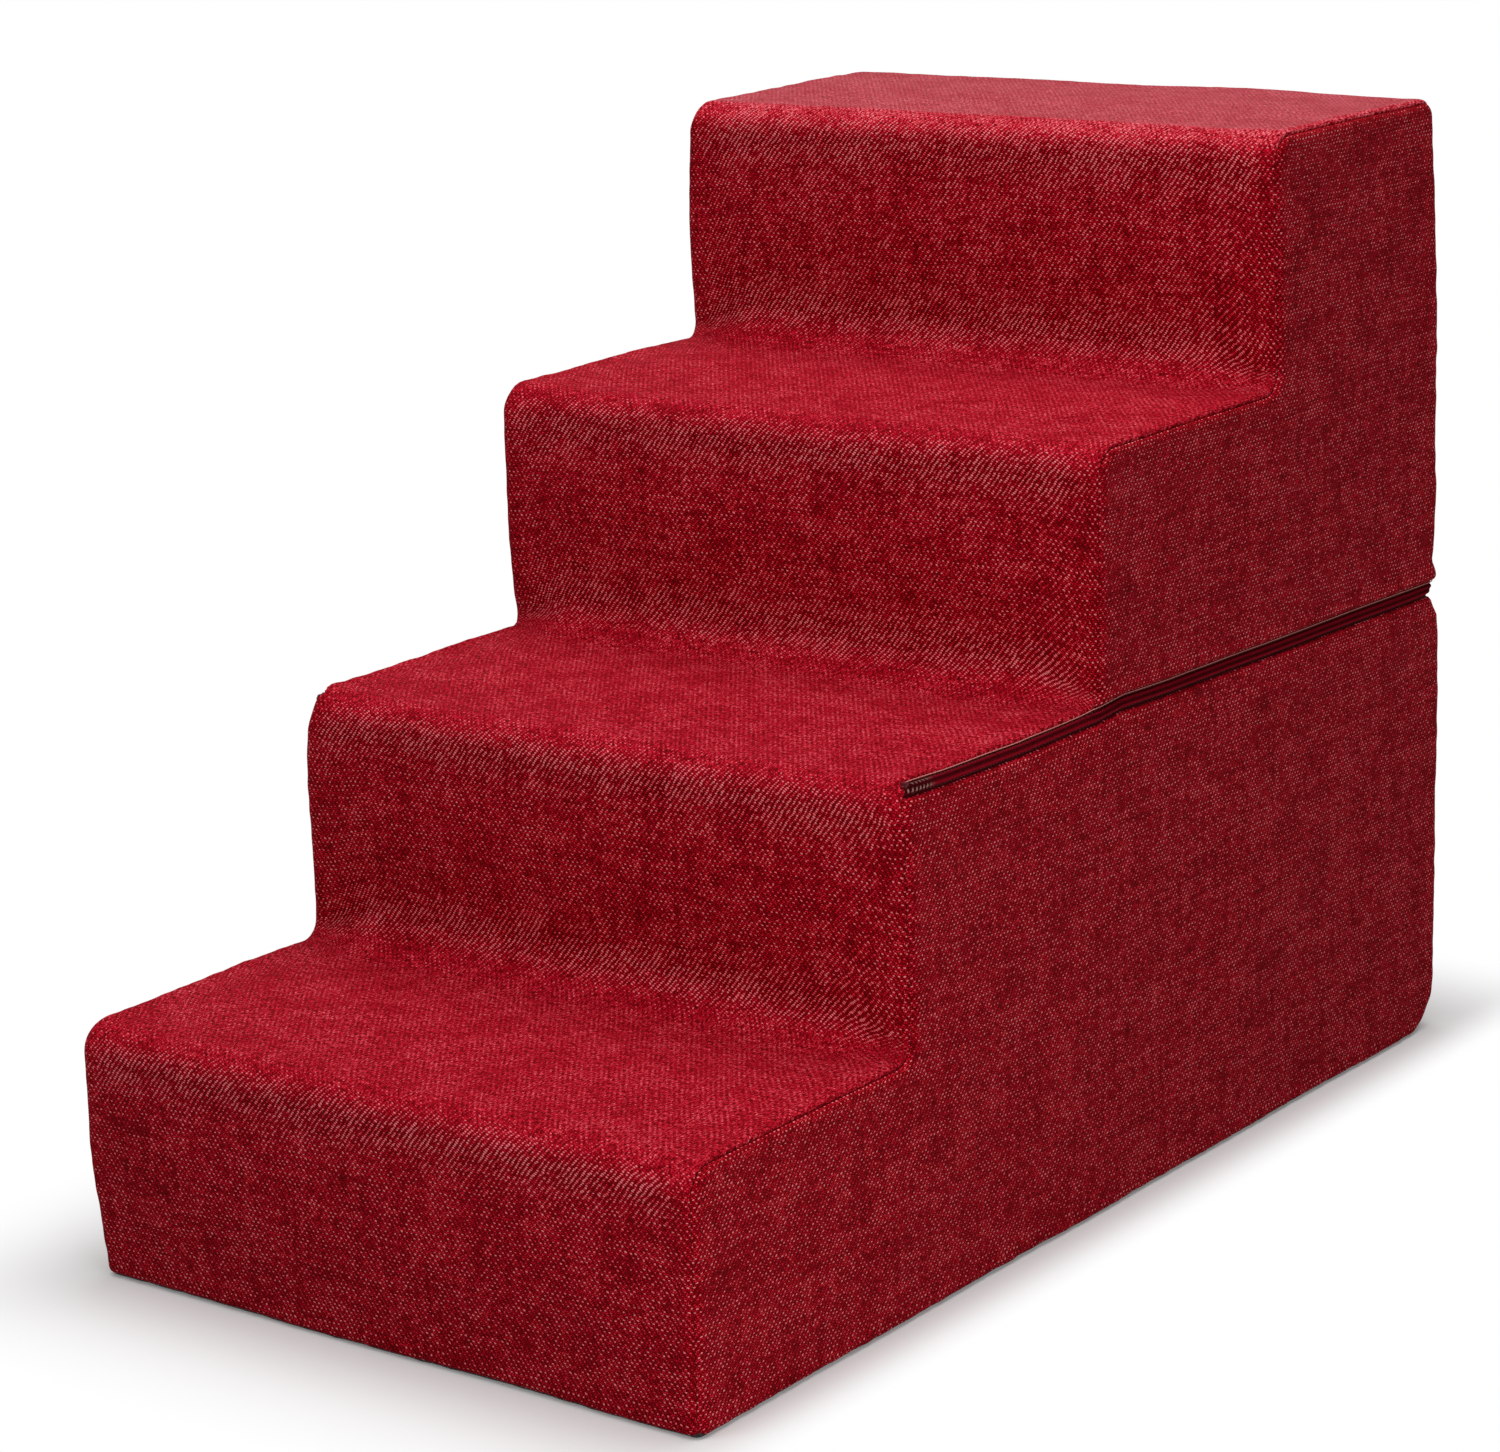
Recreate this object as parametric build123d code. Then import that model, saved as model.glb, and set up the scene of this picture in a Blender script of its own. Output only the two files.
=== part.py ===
"""Soft pet stairs with four steps: two foam blocks in a zipped cloth cover that fold together.

The zip runs level round the sides and the back. With it open, the upper block swings forward
over the cloth of the second tread and nests upside down on the lower block.

Frame: origin on the floor at the middle of the footprint, X across, Y from front to back, Z up.
"""

import os
from math import sqrt

from build123d import *

# Stairs
STEPS = 4
STEPS_BELOW_ZIP = 2
STAIR_WIDTH = 406.0
TREAD_DEPTH = 183.0
STEP_RISE = 141.0

# Swell and rounding of the stuffed cover
TREAD_CROWN = 2.0
RISER_CROWN = 2.0
BACK_CROWN = 1.5
SIDE_SWELL = 2.5
SWELL_MARGIN = 1.0
FOOT_SIDE_TUCK = 1.0
ZIP_SIDE_TUCK = 1.5
NOSING_RADIUS = 16.0
COVE_RADIUS = 20.0
FOOT_FRONT_RADIUS = 9.0
FOOT_BACK_RADIUS = 35.0
TOP_BACK_RADIUS = 12.0
SIDE_EDGE_RADIUS = 8.0

# Waist that the zip draws in
ZIP_BACK_TUCK = 6.0
WAIST_BELOW = 28.0
WAIST_ABOVE = 16.0
WAIST_BACK_RADIUS = 6.0
WAIST_SIDE_RADIUS = 12.0

# Cover cloth
CLOTH = 1.5
LINING = 1.0
SEAM_INSET = 3.5
BACK_SEAM_DROP = 6.0
FOOT_SEAM_RISE = 3.0

# Zip: all insets are measured in from the stairs' nominal sides and back
ZIP_INSET = 3.0
TAPE_WIDTH = 4.6
TAPE_THICK = 1.0
TAPE_TREAD_INSET = 7.0
TAPE_FRONT_GAP = 3.0
ZIP_CORNER_RADIUS = 14.0
COIL_WIDTH = 1.6
COIL_PROUD = 2.2
SOFT_GAP = 0.3

# Metal stops at the two ends of the chain
STOP_LENGTH = 3.0
STOP_HEIGHT = 4.4
STOP_PROUD = 0.6

# Slider, on the stairs' left side near the front of the zip
SLIDER_LENGTH = 13.0
SLIDER_HEAD_WIDTH = 9.0
SLIDER_TAIL_WIDTH = 7.6
SLIDER_CORNER_RADIUS = 1.5
SLIDER_PLATE = 1.5
SLIDER_FLANGE = 1.2
SLIDER_GAP = 0.3
SLIDER_FRONT_GAP = 3.0
BRIDGE_LENGTH = 8.4
BRIDGE_WIDTH = 2.6
BRIDGE_THICK = 1.4
BRIDGE_SPACE = 2.8
BRIDGE_CORNER_RADIUS = 1.2

# Pull tab, whose bar turns under the slider's bridge
PULL_BAR_DIAMETER = 1.8
PULL_THICK = 1.6
PULL_WIDTH = 8.0
PULL_WINDOW_WIDTH = 3.6
PULL_WINDOW_LENGTH = 8.0
PULL_LENGTH = 30.0
PULL_CORNER_RADIUS = 3.0
PULL_HOLE_DIAMETER = 3.6

# Fold
FOLD_GAP = 1.0

# Share of the cove's radius over which the zip band stands against the riser's flank
COVE_FLANK_SHARE = 0.75
# Share of the cove's radius that the upper foam's toe reaches forward
FOAM_TOE_SHARE = 0.6

# Where things lie, from the sizes above
SIDE = STAIR_WIDTH / 2
FRONT = -STEPS * TREAD_DEPTH / 2
BACK = -FRONT
TOP = STEPS * STEP_RISE
WAIST = STEPS_BELOW_ZIP * STEP_RISE
WAIST_RISER = FRONT + STEPS_BELOW_ZIP * TREAD_DEPTH
WAIST_NOSING = WAIST_RISER - TREAD_DEPTH
FOLD_Y = WAIST_RISER - TREAD_DEPTH / 2 - RISER_CROWN - FOLD_GAP / 2
FOLD_Z = WAIST + TREAD_CROWN + FOLD_GAP / 2
PARTING = WAIST - CLOTH
FOAM_TOE = WAIST_RISER - FOAM_TOE_SHARE * COVE_RADIUS
REACH = 2 * TOP

# The zip's centre line lies on the rounded side edge of the tread, where that is inset so far
EDGE_CENTRE_INSET = ZIP_SIDE_TUCK + SIDE_EDGE_RADIUS
EDGE_CENTRE_HEIGHT = WAIST - SIDE_EDGE_RADIUS
ZIP_Z = EDGE_CENTRE_HEIGHT + sqrt(SIDE_EDGE_RADIUS**2 - (EDGE_CENTRE_INSET - ZIP_INSET) ** 2)
ZIP_WALL = WAIST_RISER - COVE_FLANK_SHARE * COVE_RADIUS
TAPE_LOW = ZIP_Z - TAPE_WIDTH
TAPE_HIGH = ZIP_Z + TAPE_WIDTH
TAPE_FRONT = WAIST_NOSING + TAPE_FRONT_GAP
CHAIN_FRONT = TAPE_FRONT + STOP_LENGTH
COIL_INSET = ZIP_INSET - COIL_PROUD
SLIDER_INSET = COIL_INSET - SLIDER_GAP
SLIDER_Y = CHAIN_FRONT + SLIDER_FRONT_GAP + SLIDER_LENGTH / 2
PULL_BAR_INSET = SLIDER_INSET - SLIDER_PLATE - BRIDGE_SPACE / 2
CHANNEL_INSET = ZIP_INSET + TAPE_THICK + SOFT_GAP


def block(x_low, x_high, y_low, y_high, z_low, z_high):
    """A box between two corners."""
    size = (x_high - x_low, y_high - y_low, z_high - z_low)
    middle = ((x_high + x_low) / 2, (y_high + y_low) / 2, (z_high + z_low) / 2)
    return Pos(*middle) * Box(*size)


def slab(z_low, z_high, y_low=-REACH, y_high=REACH):
    """All that lies between two heights, and between two depths where they are given."""
    return block(-REACH, REACH, y_low, y_high, z_low, z_high)


def both_sides(inset, y_low=-REACH, y_high=REACH, z_low=-REACH, z_high=REACH):
    """All that lies outside the given inset from the stairs' two sides."""
    right = block(SIDE - inset, REACH, y_low, y_high, z_low, z_high)
    return right + mirror(right, Plane.YZ)


def right_of(x):
    """All that lies to the right of a place across the stairs."""
    return block(x, REACH, -REACH, REACH, -REACH, REACH)


def left_of(x):
    """All that lies to the left of a place across the stairs."""
    return block(-REACH, x, -REACH, REACH, -REACH, REACH)


def crowned(start, end, rise):
    """An arc between two points that swells to the left of the way it runs."""
    start, end = Vector(*start), Vector(*end)
    along = (end - start).normalized()
    left = Vector(-along.Y, along.X)
    return ThreePointArc(start, (start + end) * 0.5 + left * rise, end)


def rounded(face, corners):
    """The face with each named corner rounded by its own radius."""
    for corner, radius in corners:
        nearest = face.vertices().sort_by_distance(Vector(*corner))[0]
        face = fillet(nearest, radius)
    return face


def side_outline(inset):
    """The stairs seen from the side: crowned risers and treads, and a back with a waist."""
    front, back = FRONT + inset, BACK - inset
    foot_front = (front, inset)
    foot_back = (back, inset)
    waist_top = (back, ZIP_Z + WAIST_ABOVE)
    waist = (back - ZIP_BACK_TUCK, ZIP_Z)
    waist_foot = (back, ZIP_Z - WAIST_BELOW)
    edges = []
    corners = [(foot_front, FOOT_FRONT_RADIUS - inset)]
    last = foot_front
    for step in range(STEPS):
        riser, tread = front + step * TREAD_DEPTH, (step + 1) * STEP_RISE - inset
        nosing = (riser, tread)
        cove = (min(riser + TREAD_DEPTH, back), tread)
        edges += [crowned(last, nosing, RISER_CROWN), crowned(nosing, cove, TREAD_CROWN)]
        corners.append((nosing, NOSING_RADIUS - inset))
        if step < STEPS - 1:
            corners.append((cove, COVE_RADIUS + inset))
        last = cove
    upper_back = crowned(last, waist_top, BACK_CROWN)
    lower_back = crowned(waist_foot, foot_back, BACK_CROWN)
    edges += [
        upper_back,
        TangentArc(waist_top, waist, tangent=upper_back % 1),
        TangentArc(waist_foot, waist, tangent=-(lower_back % 0)),
        lower_back,
        Line(foot_back, foot_front),
    ]
    corners.append((last, TOP_BACK_RADIUS - inset))
    corners.append((waist, WAIST_BACK_RADIUS + inset))
    corners.append((foot_back, FOOT_BACK_RADIUS - inset))
    return rounded(make_face(edges), corners)


def front_outline(inset):
    """The stairs' sides seen from the front: swollen above and below a waist at the zip."""
    head = TOP + NOSING_RADIUS
    foot = (SIDE - FOOT_SIDE_TUCK - inset, -CLOTH)
    belly = (SIDE + SIDE_SWELL - inset, ZIP_Z / 2)
    waist = (SIDE - ZIP_SIDE_TUCK - inset, ZIP_Z)
    chest = (SIDE + SIDE_SWELL - inset, (ZIP_Z + head) / 2)
    crown = (SIDE - inset, head)
    half = [
        ThreePointArc(foot, belly, waist),
        ThreePointArc(waist, chest, crown),
        Line(crown, (0, head)),
        Line((0, foot[1]), foot),
    ]
    other_half = [mirror(edge, Plane.YZ) for edge in half]
    face = make_face(half + other_half)
    return rounded(face, [(waist, WAIST_SIDE_RADIUS), ((-waist[0], waist[1]), WAIST_SIDE_RADIUS)])


def cushion(inset):
    """The whole stuffed stair, or what lies the given depth inside its surface."""
    reach = SIDE + SIDE_SWELL + SWELL_MARGIN - inset
    swollen = extrude(Plane.YZ * side_outline(inset), reach, both=True)
    flanks = swollen.faces().sort_by(Axis.X)
    edges = flanks[0].edges() + flanks[-1].edges()
    swollen = fillet(edges, SIDE_EDGE_RADIUS - inset)
    waisted = extrude(Plane.XZ * front_outline(inset), REACH, both=True)
    return (swollen & waisted).solids()[0]


def zip_ring(inset_low, inset_high, z_low, z_high, y_low=ZIP_WALL):
    """A level ring round the sides and the back, between two insets from their faces."""

    def plan(inset):
        width = 2 * (SIDE - inset)
        depth = 2 * (BACK - inset)
        return RectangleRounded(width, depth, ZIP_CORNER_RADIUS - inset)

    ring = extrude(Pos(0, 0, z_low) * (plan(inset_low) - plan(inset_high)), z_high - z_low)
    return ring & slab(z_low, z_high, y_low, REACH)


def coil(z_low, z_high, y_low, y_high=REACH):
    """A stretch of half the chain: it stands on the tapes, and outside the tread's edge."""
    ring = zip_ring(COIL_INSET, ZIP_INSET, z_low, z_high, y_low)
    ring = ring & slab(z_low, z_high, y_low, y_high)
    on_tread = (ring & slab(z_low, z_high, -REACH, ZIP_WALL)) - OUTSIDE
    return on_tread + (ring & slab(z_low, z_high, ZIP_WALL, REACH))


OUTSIDE = cushion(0)
INSIDE = cushion(CLOTH)
SKIN = OUTSIDE - INSIDE
MIDDLE = block(SEAM_INSET - SIDE, SIDE - SEAM_INSET, -REACH, REACH, -REACH, REACH)
CHANNEL = zip_ring(-ZIP_CORNER_RADIUS, CHANNEL_INSET, TAPE_LOW, TAPE_HIGH)
TREAD_ZIP = both_sides(TAPE_TREAD_INSET, TAPE_FRONT, ZIP_WALL, TAPE_LOW)
UPPER = slab(PARTING, REACH, FOLD_Y)
BACK_ZONE = slab(-REACH, TOP - BACK_SEAM_DROP, BACK - TREAD_DEPTH / 2)


def lower_cover():
    """Cloths of the lower half: steps, sides, back and base."""
    front = SKIN & slab(FOOT_SEAM_RISE, REACH, -REACH, FOLD_Y)
    flank = (SKIN & slab(FOOT_SEAM_RISE, REACH)) - slab(TAPE_LOW, REACH, TAPE_FRONT)
    return {
        "lower_step_panel": (front & MIDDLE) - TREAD_ZIP,
        "lower_side_panel_right": flank & right_of(SIDE - SEAM_INSET),
        "lower_side_panel_left": flank & left_of(SEAM_INSET - SIDE),
        "lower_back_panel": SKIN & MIDDLE & slab(FOOT_SEAM_RISE, TAPE_LOW, FOLD_Y),
        "bottom_panel": SKIN & slab(-REACH, FOOT_SEAM_RISE),
    }


def upper_cover():
    """Cloths of the upper half, with the rear half of the tread that the zip runs along."""
    shell = (OUTSIDE & UPPER) - (INSIDE & slab(-REACH, REACH, FOAM_TOE))
    flank = SKIN & slab(TAPE_HIGH, REACH, ZIP_WALL)
    return {
        "upper_step_panel": (shell & MIDDLE) - TREAD_ZIP - CHANNEL - BACK_ZONE,
        "upper_side_panel_right": flank & right_of(SIDE - SEAM_INSET),
        "upper_side_panel_left": flank & left_of(SEAM_INSET - SIDE),
        "upper_back_panel": flank & MIDDLE & BACK_ZONE,
    }


def foam_and_linings():
    """The two foam cores, with a cloth lining on each of the faces that part at the fold."""
    beside = (FOLD_Y - SOFT_GAP, REACH, ZIP_Z - SOFT_GAP)
    beside_flap = both_sides(TAPE_TREAD_INSET + SOFT_GAP, *beside)
    below = INSIDE - slab(PARTING - LINING, REACH, FOLD_Y) - CHANNEL - beside_flap
    above = (INSIDE & slab(PARTING + LINING, REACH, FOAM_TOE)) - CHANNEL
    under_lining = (INSIDE & slab(PARTING - LINING, PARTING, FOLD_Y)) - CHANNEL - beside_flap
    over_lining = (INSIDE & slab(PARTING, PARTING + LINING, FOAM_TOE)) - CHANNEL
    return {
        "lower_foam_block": below,
        "lower_lining": under_lining,
        "upper_foam_block": above,
        "upper_lining": over_lining,
    }


def zip_halves():
    """Tapes, chain and end stops. In front of the fold both halves stay on the lower block."""
    tread_tape = SKIN & both_sides(TAPE_TREAD_INSET, TAPE_FRONT, ZIP_WALL, ZIP_Z)
    low_edge = SKIN & both_sides(TAPE_TREAD_INSET, TAPE_FRONT, ZIP_WALL, TAPE_LOW, ZIP_Z)
    tape_inner = ZIP_INSET + TAPE_THICK
    stop_low = ZIP_Z - STOP_HEIGHT / 2
    stop = both_sides(ZIP_INSET, TAPE_FRONT, CHAIN_FRONT, stop_low, stop_low + STOP_HEIGHT)
    stop = stop - both_sides(COIL_INSET - STOP_PROUD)
    return {
        "lower_zip_tape": low_edge + zip_ring(ZIP_INSET, tape_inner, TAPE_LOW, ZIP_Z),
        "upper_zip_tape": (tread_tape & slab(-REACH, REACH, FOLD_Y))
        + zip_ring(ZIP_INSET, tape_inner, ZIP_Z, TAPE_HIGH),
        "tread_zip_tape": tread_tape & slab(-REACH, REACH, -REACH, FOLD_Y),
        "lower_zip_coil": coil(ZIP_Z - COIL_WIDTH, ZIP_Z, CHAIN_FRONT),
        "upper_zip_coil": coil(ZIP_Z, ZIP_Z + COIL_WIDTH, FOLD_Y),
        "tread_zip_coil": coil(ZIP_Z, ZIP_Z + COIL_WIDTH, CHAIN_FRONT, FOLD_Y),
        "zip_end_stops": stop - OUTSIDE,
    }


def outward_plane(inset):
    """A plane on the left side, at the slider, that looks outward with its own x to the back."""
    return Plane(origin=(inset - SIDE, SLIDER_Y, ZIP_Z), x_dir=(0, 1, 0), z_dir=(-1, 0, 0))


def slider():
    """The slider: a shield-shaped plate with flanges beside the chain, and a bridge on top."""
    half = SLIDER_LENGTH / 2
    head, tail = SLIDER_HEAD_WIDTH / 2, SLIDER_TAIL_WIDTH / 2
    plan = Polygon((-half, -head), (half, -tail), (half, tail), (-half, head), align=None)
    plan = fillet(plan.vertices(), SLIDER_CORNER_RADIUS)
    plate = extrude(outward_plane(SLIDER_INSET) * plan, SLIDER_PLATE)
    flange_middle = COIL_WIDTH + SLIDER_GAP + SLIDER_FLANGE / 2
    flange_depth = ZIP_SIDE_TUCK - SLIDER_INSET - SLIDER_GAP
    for side in (-1, 1):
        flange = Pos(0, side * flange_middle) * Rectangle(SLIDER_LENGTH, SLIDER_FLANGE)
        plate += extrude(outward_plane(SLIDER_INSET) * (flange & plan), -flange_depth)
    top = outward_plane(SLIDER_INSET - SLIDER_PLATE)
    bridge = extrude(top * Rectangle(BRIDGE_LENGTH, BRIDGE_WIDTH), BRIDGE_SPACE + BRIDGE_THICK)
    outer_edges = bridge.faces().sort_by(Axis.X)[0].edges().filter_by(Axis.Z)
    bridge = fillet(outer_edges, BRIDGE_CORNER_RADIUS)
    space = Rectangle(BRIDGE_LENGTH - 2 * BRIDGE_THICK, BRIDGE_WIDTH)
    return plate + (bridge - extrude(top * space, BRIDGE_SPACE))


def pull_tab():
    """The pull: a tab with a window round the bridge's leg, and a bar that turns under it."""
    tab = Pos(PULL_LENGTH / 2) * RectangleRounded(PULL_LENGTH, PULL_WIDTH, PULL_CORNER_RADIUS)
    window_middle = PULL_BAR_DIAMETER / 2 + PULL_WINDOW_LENGTH / 2
    tab -= Pos(window_middle) * Rectangle(PULL_WINDOW_LENGTH, PULL_WINDOW_WIDTH)
    tab -= Pos(PULL_LENGTH - PULL_WIDTH / 2) * Circle(PULL_HOLE_DIAMETER / 2)
    pull = extrude(outward_plane(PULL_BAR_INSET + PULL_THICK / 2) * tab, PULL_THICK)
    bar = Cylinder(PULL_BAR_DIAMETER / 2, PULL_WIDTH)
    return pull + Pos(PULL_BAR_INSET - SIDE, SLIDER_Y, ZIP_Z) * bar


os.makedirs("parts", exist_ok=True)
nodes = {**lower_cover(), **upper_cover(), **foam_and_linings(), **zip_halves()}
nodes["zip_slider"] = slider()
nodes["zip_pull_tab"] = pull_tab()
for name, shape in nodes.items():
    export_step(Compound(shape.solids()), f"parts/{name}.step")
print(f"fold axis at y {FOLD_Y:.2f}, z {FOLD_Z:.2f}; zip at z {ZIP_Z:.2f}")
print(f"pull turns about x {PULL_BAR_INSET - SIDE:.2f}, y {SLIDER_Y:.2f}")
print(f"slider travels {BACK - ZIP_CORNER_RADIUS - PULL_LENGTH - SLIDER_Y:.1f} to the back corner")
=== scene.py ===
"""The looks of the soft pet stairs: twill cover, zip, foam and linings, with floor, lights and camera.

The cover is one rounded stair shape. A closed outline seen from the side is swept across, its side
edges are rounded, and every cloth panel is a patch of that surface that rolls inward at its seams.
The sides are laid out flat, as a dressmaker would, and then mapped on to the rounded shape.
"""

import math

import bmesh
import bpy
import numpy as np
from mathutils import Matrix, Vector
from mathutils.geometry import delaunay_2d_cdt

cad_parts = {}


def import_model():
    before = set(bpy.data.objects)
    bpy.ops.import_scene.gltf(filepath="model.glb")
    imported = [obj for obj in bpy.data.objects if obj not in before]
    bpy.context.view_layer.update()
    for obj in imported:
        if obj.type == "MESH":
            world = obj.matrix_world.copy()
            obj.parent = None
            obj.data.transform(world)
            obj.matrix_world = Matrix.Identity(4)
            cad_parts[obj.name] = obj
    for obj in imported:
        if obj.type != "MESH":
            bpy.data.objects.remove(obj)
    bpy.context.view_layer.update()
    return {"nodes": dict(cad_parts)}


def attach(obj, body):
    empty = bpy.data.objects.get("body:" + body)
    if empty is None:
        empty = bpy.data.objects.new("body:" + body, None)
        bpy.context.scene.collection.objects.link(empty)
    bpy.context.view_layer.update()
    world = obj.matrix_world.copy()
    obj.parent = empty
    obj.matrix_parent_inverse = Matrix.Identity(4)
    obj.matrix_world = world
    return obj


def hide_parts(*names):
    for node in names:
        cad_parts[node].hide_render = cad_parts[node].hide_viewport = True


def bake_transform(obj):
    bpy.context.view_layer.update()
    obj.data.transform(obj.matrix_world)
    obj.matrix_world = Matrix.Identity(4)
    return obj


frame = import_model()

MM = 0.001
TINY = 1e-9
SIDES = (("right", 1), ("left", -1))

# Stairs
STEPS = 4
STAIR_WIDTH = 406 * MM
TREAD_DEPTH = 183 * MM
STEP_RISE = 141 * MM
SIDE = STAIR_WIDTH / 2
FRONT = -STEPS * TREAD_DEPTH / 2
BACK = -FRONT
TOP = STEPS * STEP_RISE
STEPS_BELOW_ZIP = 2
WAIST_RISER = FRONT + STEPS_BELOW_ZIP * TREAD_DEPTH
WAIST_NOSING = WAIST_RISER - TREAD_DEPTH

# Rounding of the stuffed cover, at mid-width and beside the side seams
EDGE_RADIUS = 8 * MM
NOSING_RADIUS = 17 * MM
NOSING_RADIUS_SIDE = 19 * MM
COVE_RADIUS = 23 * MM
COVE_RADIUS_SIDE = 10 * MM
FOOT_FRONT_RADIUS = 9 * MM
FOOT_BACK_RADIUS = 30 * MM
TOP_BACK_RADIUS = 12 * MM
CROWN = 2.2 * MM
CROWN_SIDE = 0.3 * MM
BACK_CROWN = 1.5 * MM
SIDE_BLEND = 50 * MM
FLAT_SIDE = SIDE - EDGE_RADIUS

# Seams and the zip band
CLOTH = 1.2 * MM
SEAM_ANGLE = math.pi / 4
SEAM_REACH = EDGE_RADIUS * SEAM_ANGLE
SEAM_UPRIGHT_SHARE = 0.22
FOOT_SEAM_RISE = 3 * MM
TOP_SEAM_SHARE = 0.45
ZIP_Z = 278.66 * MM
BAND_HALF = 4.6 * MM
ZIP_TIP_Y = -175 * MM
ZIP_TIP_FADE = 1.2 * MM
FOLD_Y = -94 * MM
ZIP_LIP_FADE = 1 * MM
BAND_END_SHARE = 0.95
LEAST_RISE = 0.2

# Rows of points beside a seam or a zip lip: distance from the edge, and height over the cloth there
SEAM_ROWS = np.array([0, 0.35, 0.8, 1.4, 2.2, 3.2, 4.6, 6.6, 9.5]) * MM
SEAM_HEIGHTS = np.array([-2.6, -1.1, -0.35, 0.0, 0.12, 0.18, 0.12, 0.05, 0]) * MM
LIP_HEIGHTS = np.array([-3.4, -1.9, -0.5, 0.3, 0.65, 0.7, 0.45, 0.15, 0]) * MM

# Spacing of mesh points
ROW_STEP = 3.2 * MM
COLUMN_STEP = 6.5 * MM
SIDE_STEP = 7 * MM
BORDER_STEP = 2.2 * MM
ROW_SPACE_SHARE = 0.93
FILL_REACH = 1e-7
POINTS_AT_ONCE = 2000
ARC_SAMPLES = 24
RUN_SAMPLES = 40

# Painted light on the cloth: highlights at the bends and seams, evener weft rows higher up, and a brighter
# top tread with sheen
ROW_LIGHT_AT_TOP = 0.55
EDGE_FADE_SHARE = 0.85
EDGE_FADE_REACH = 15 * MM
NOSING_GLOW_SHARE = 0.25
COVE_GLOW_SHARE = 0.75
RISER_GLOW_REACH = 19 * MM
TREAD_GLOW_REACH = 7 * MM
SEAM_GLOW = 0.12
SEAM_GLOW_REACH = 7 * MM
# Painted light on the top tread: its tone is raised, and only it takes the low-angle sheen
TOP_SHEEN_DEPTH = 10 * MM
TOP_SHEEN_START_SHARE = 0.35

# Slack and wrinkles of the cloth: sets of waves with their length, height and number
WAVE_SEED = 11
WAVES = ((0.16, 0.35 * MM, 10), (0.07, 0.14 * MM, 14), (0.032, 0.05 * MM, 16))
WAVE_SPREAD = (0.7, 1.4)
PUCKER_WAVES = (11 * MM, 0.16 * MM, 18)
PUCKER_START = 2 * MM
PUCKER_FADE = 7 * MM


def smooth(value):
    """A smooth ramp from 0 to 1 as value goes from 0 to 1."""
    value = np.clip(value, 0, 1)
    return value * value * (3 - 2 * value)


def bell(value):
    """A smooth bump of height 1 round zero."""
    return np.exp(-np.square(value))


def unit(ways):
    """The same ways at length 1."""
    return ways / np.maximum(np.linalg.norm(ways, axis=-1, keepdims=True), TINY)


def between(samples, index):
    """Values at fractional sample numbers, which wrap round a closed line of samples."""
    low = np.floor(index).astype(int)
    share = (np.asarray(index) - low)[..., None]
    return samples[low % len(samples)] * (1 - share) + samples[(low + 1) % len(samples)] * share


def line_lengths(line):
    """Length from the start of a polyline to each of its points."""
    return np.concatenate([[0], np.cumsum(np.linalg.norm(np.diff(line, axis=0), axis=1))])


class Outline:
    """The closed side outline, as evenly numbered samples with places, outward normals and lengths."""

    def __init__(self, nosing, cove, crown):
        corners = [(FRONT, 0, FOOT_FRONT_RADIUS, crown)]
        for step in range(STEPS):
            riser, tread = FRONT + step * TREAD_DEPTH, (step + 1) * STEP_RISE
            corners.append((riser, tread, nosing, crown))
            if step < STEPS - 1:
                corners.append((riser + TREAD_DEPTH, tread, cove, crown))
        corners.append((BACK, TOP, TOP_BACK_RADIUS, BACK_CROWN))
        corners.append((BACK, 0, FOOT_BACK_RADIUS, 0))
        places = np.array([corner[:2] for corner in corners])
        ways = np.roll(places, -1, axis=0) - places
        gaps = np.linalg.norm(ways, axis=1)
        ways = unit(ways)
        samples = []
        for index, (_, _, radius, swell) in enumerate(corners):
            next_radius = corners[(index + 1) % len(corners)][2]
            samples += self._arc(places[index], ways[index - 1], ways[index], radius)
            samples += self._run(places[index], ways[index], gaps[index], radius, next_radius, swell)
        self.points, self.normals = (np.array(part) for part in zip(*samples))
        self.count = len(self.points)
        self.lengths = line_lengths(np.vstack([self.points, self.points[:1]]))
        self.around = self.lengths[-1]

    @staticmethod
    def _arc(corner, before, after, radius):
        outward = -1 if before[0] * after[1] > before[1] * after[0] else 1
        centre = corner - before * radius + after * radius
        for share in np.linspace(0, 1, ARC_SAMPLES, endpoint=False):
            angle = share * math.pi / 2
            arm = before * math.sin(angle) - after * math.cos(angle)
            yield centre + radius * arm, arm * outward

    @staticmethod
    def _run(corner, along, length, radius, next_radius, swell):
        outward = np.array((-along[1], along[0]))
        flat = length - radius - next_radius
        for share in np.linspace(0, 1, RUN_SAMPLES, endpoint=False):
            lift = swell * math.sin(math.pi * share) ** 2
            slope = swell * math.pi / flat * math.sin(2 * math.pi * share)
            normal = outward - slope * along
            yield corner + along * (radius + share * flat) + outward * lift, normal / np.linalg.norm(normal)

    def at(self, index):
        """Places and normals at fractional sample numbers."""
        return between(self.points, index), unit(between(self.normals, index))

    def length_at(self, index):
        """Length along the outline at sample numbers, counted on past the last sample."""
        laps, rest = np.divmod(index, self.count)
        return laps * self.around + np.interp(rest, np.arange(self.count + 1), self.lengths)

    def index_at(self, length):
        """Sample numbers at lengths along the outline."""
        laps, rest = np.divmod(length, self.around)
        return laps * self.count + np.interp(rest, self.lengths, np.arange(self.count + 1))


MIDDLE = Outline(NOSING_RADIUS, COVE_RADIUS, CROWN)
BESIDE = Outline(NOSING_RADIUS_SIDE, COVE_RADIUS_SIDE, CROWN_SIDE)
INNER = BESIDE.points - EDGE_RADIUS * BESIDE.normals
CORNER_SAMPLES = ARC_SAMPLES + RUN_SAMPLES


def corner_index(corner, angle_share=0.0):
    """Sample number at a share of the way round the named corner, counted from the front foot."""
    return corner * CORNER_SAMPLES + angle_share * ARC_SAMPLES


def arc_share(radius, rise):
    """Share of a foot's quarter turn at which the outline has risen so far from the floor."""
    return math.acos(1 - rise / radius) / (math.pi / 2)


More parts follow.
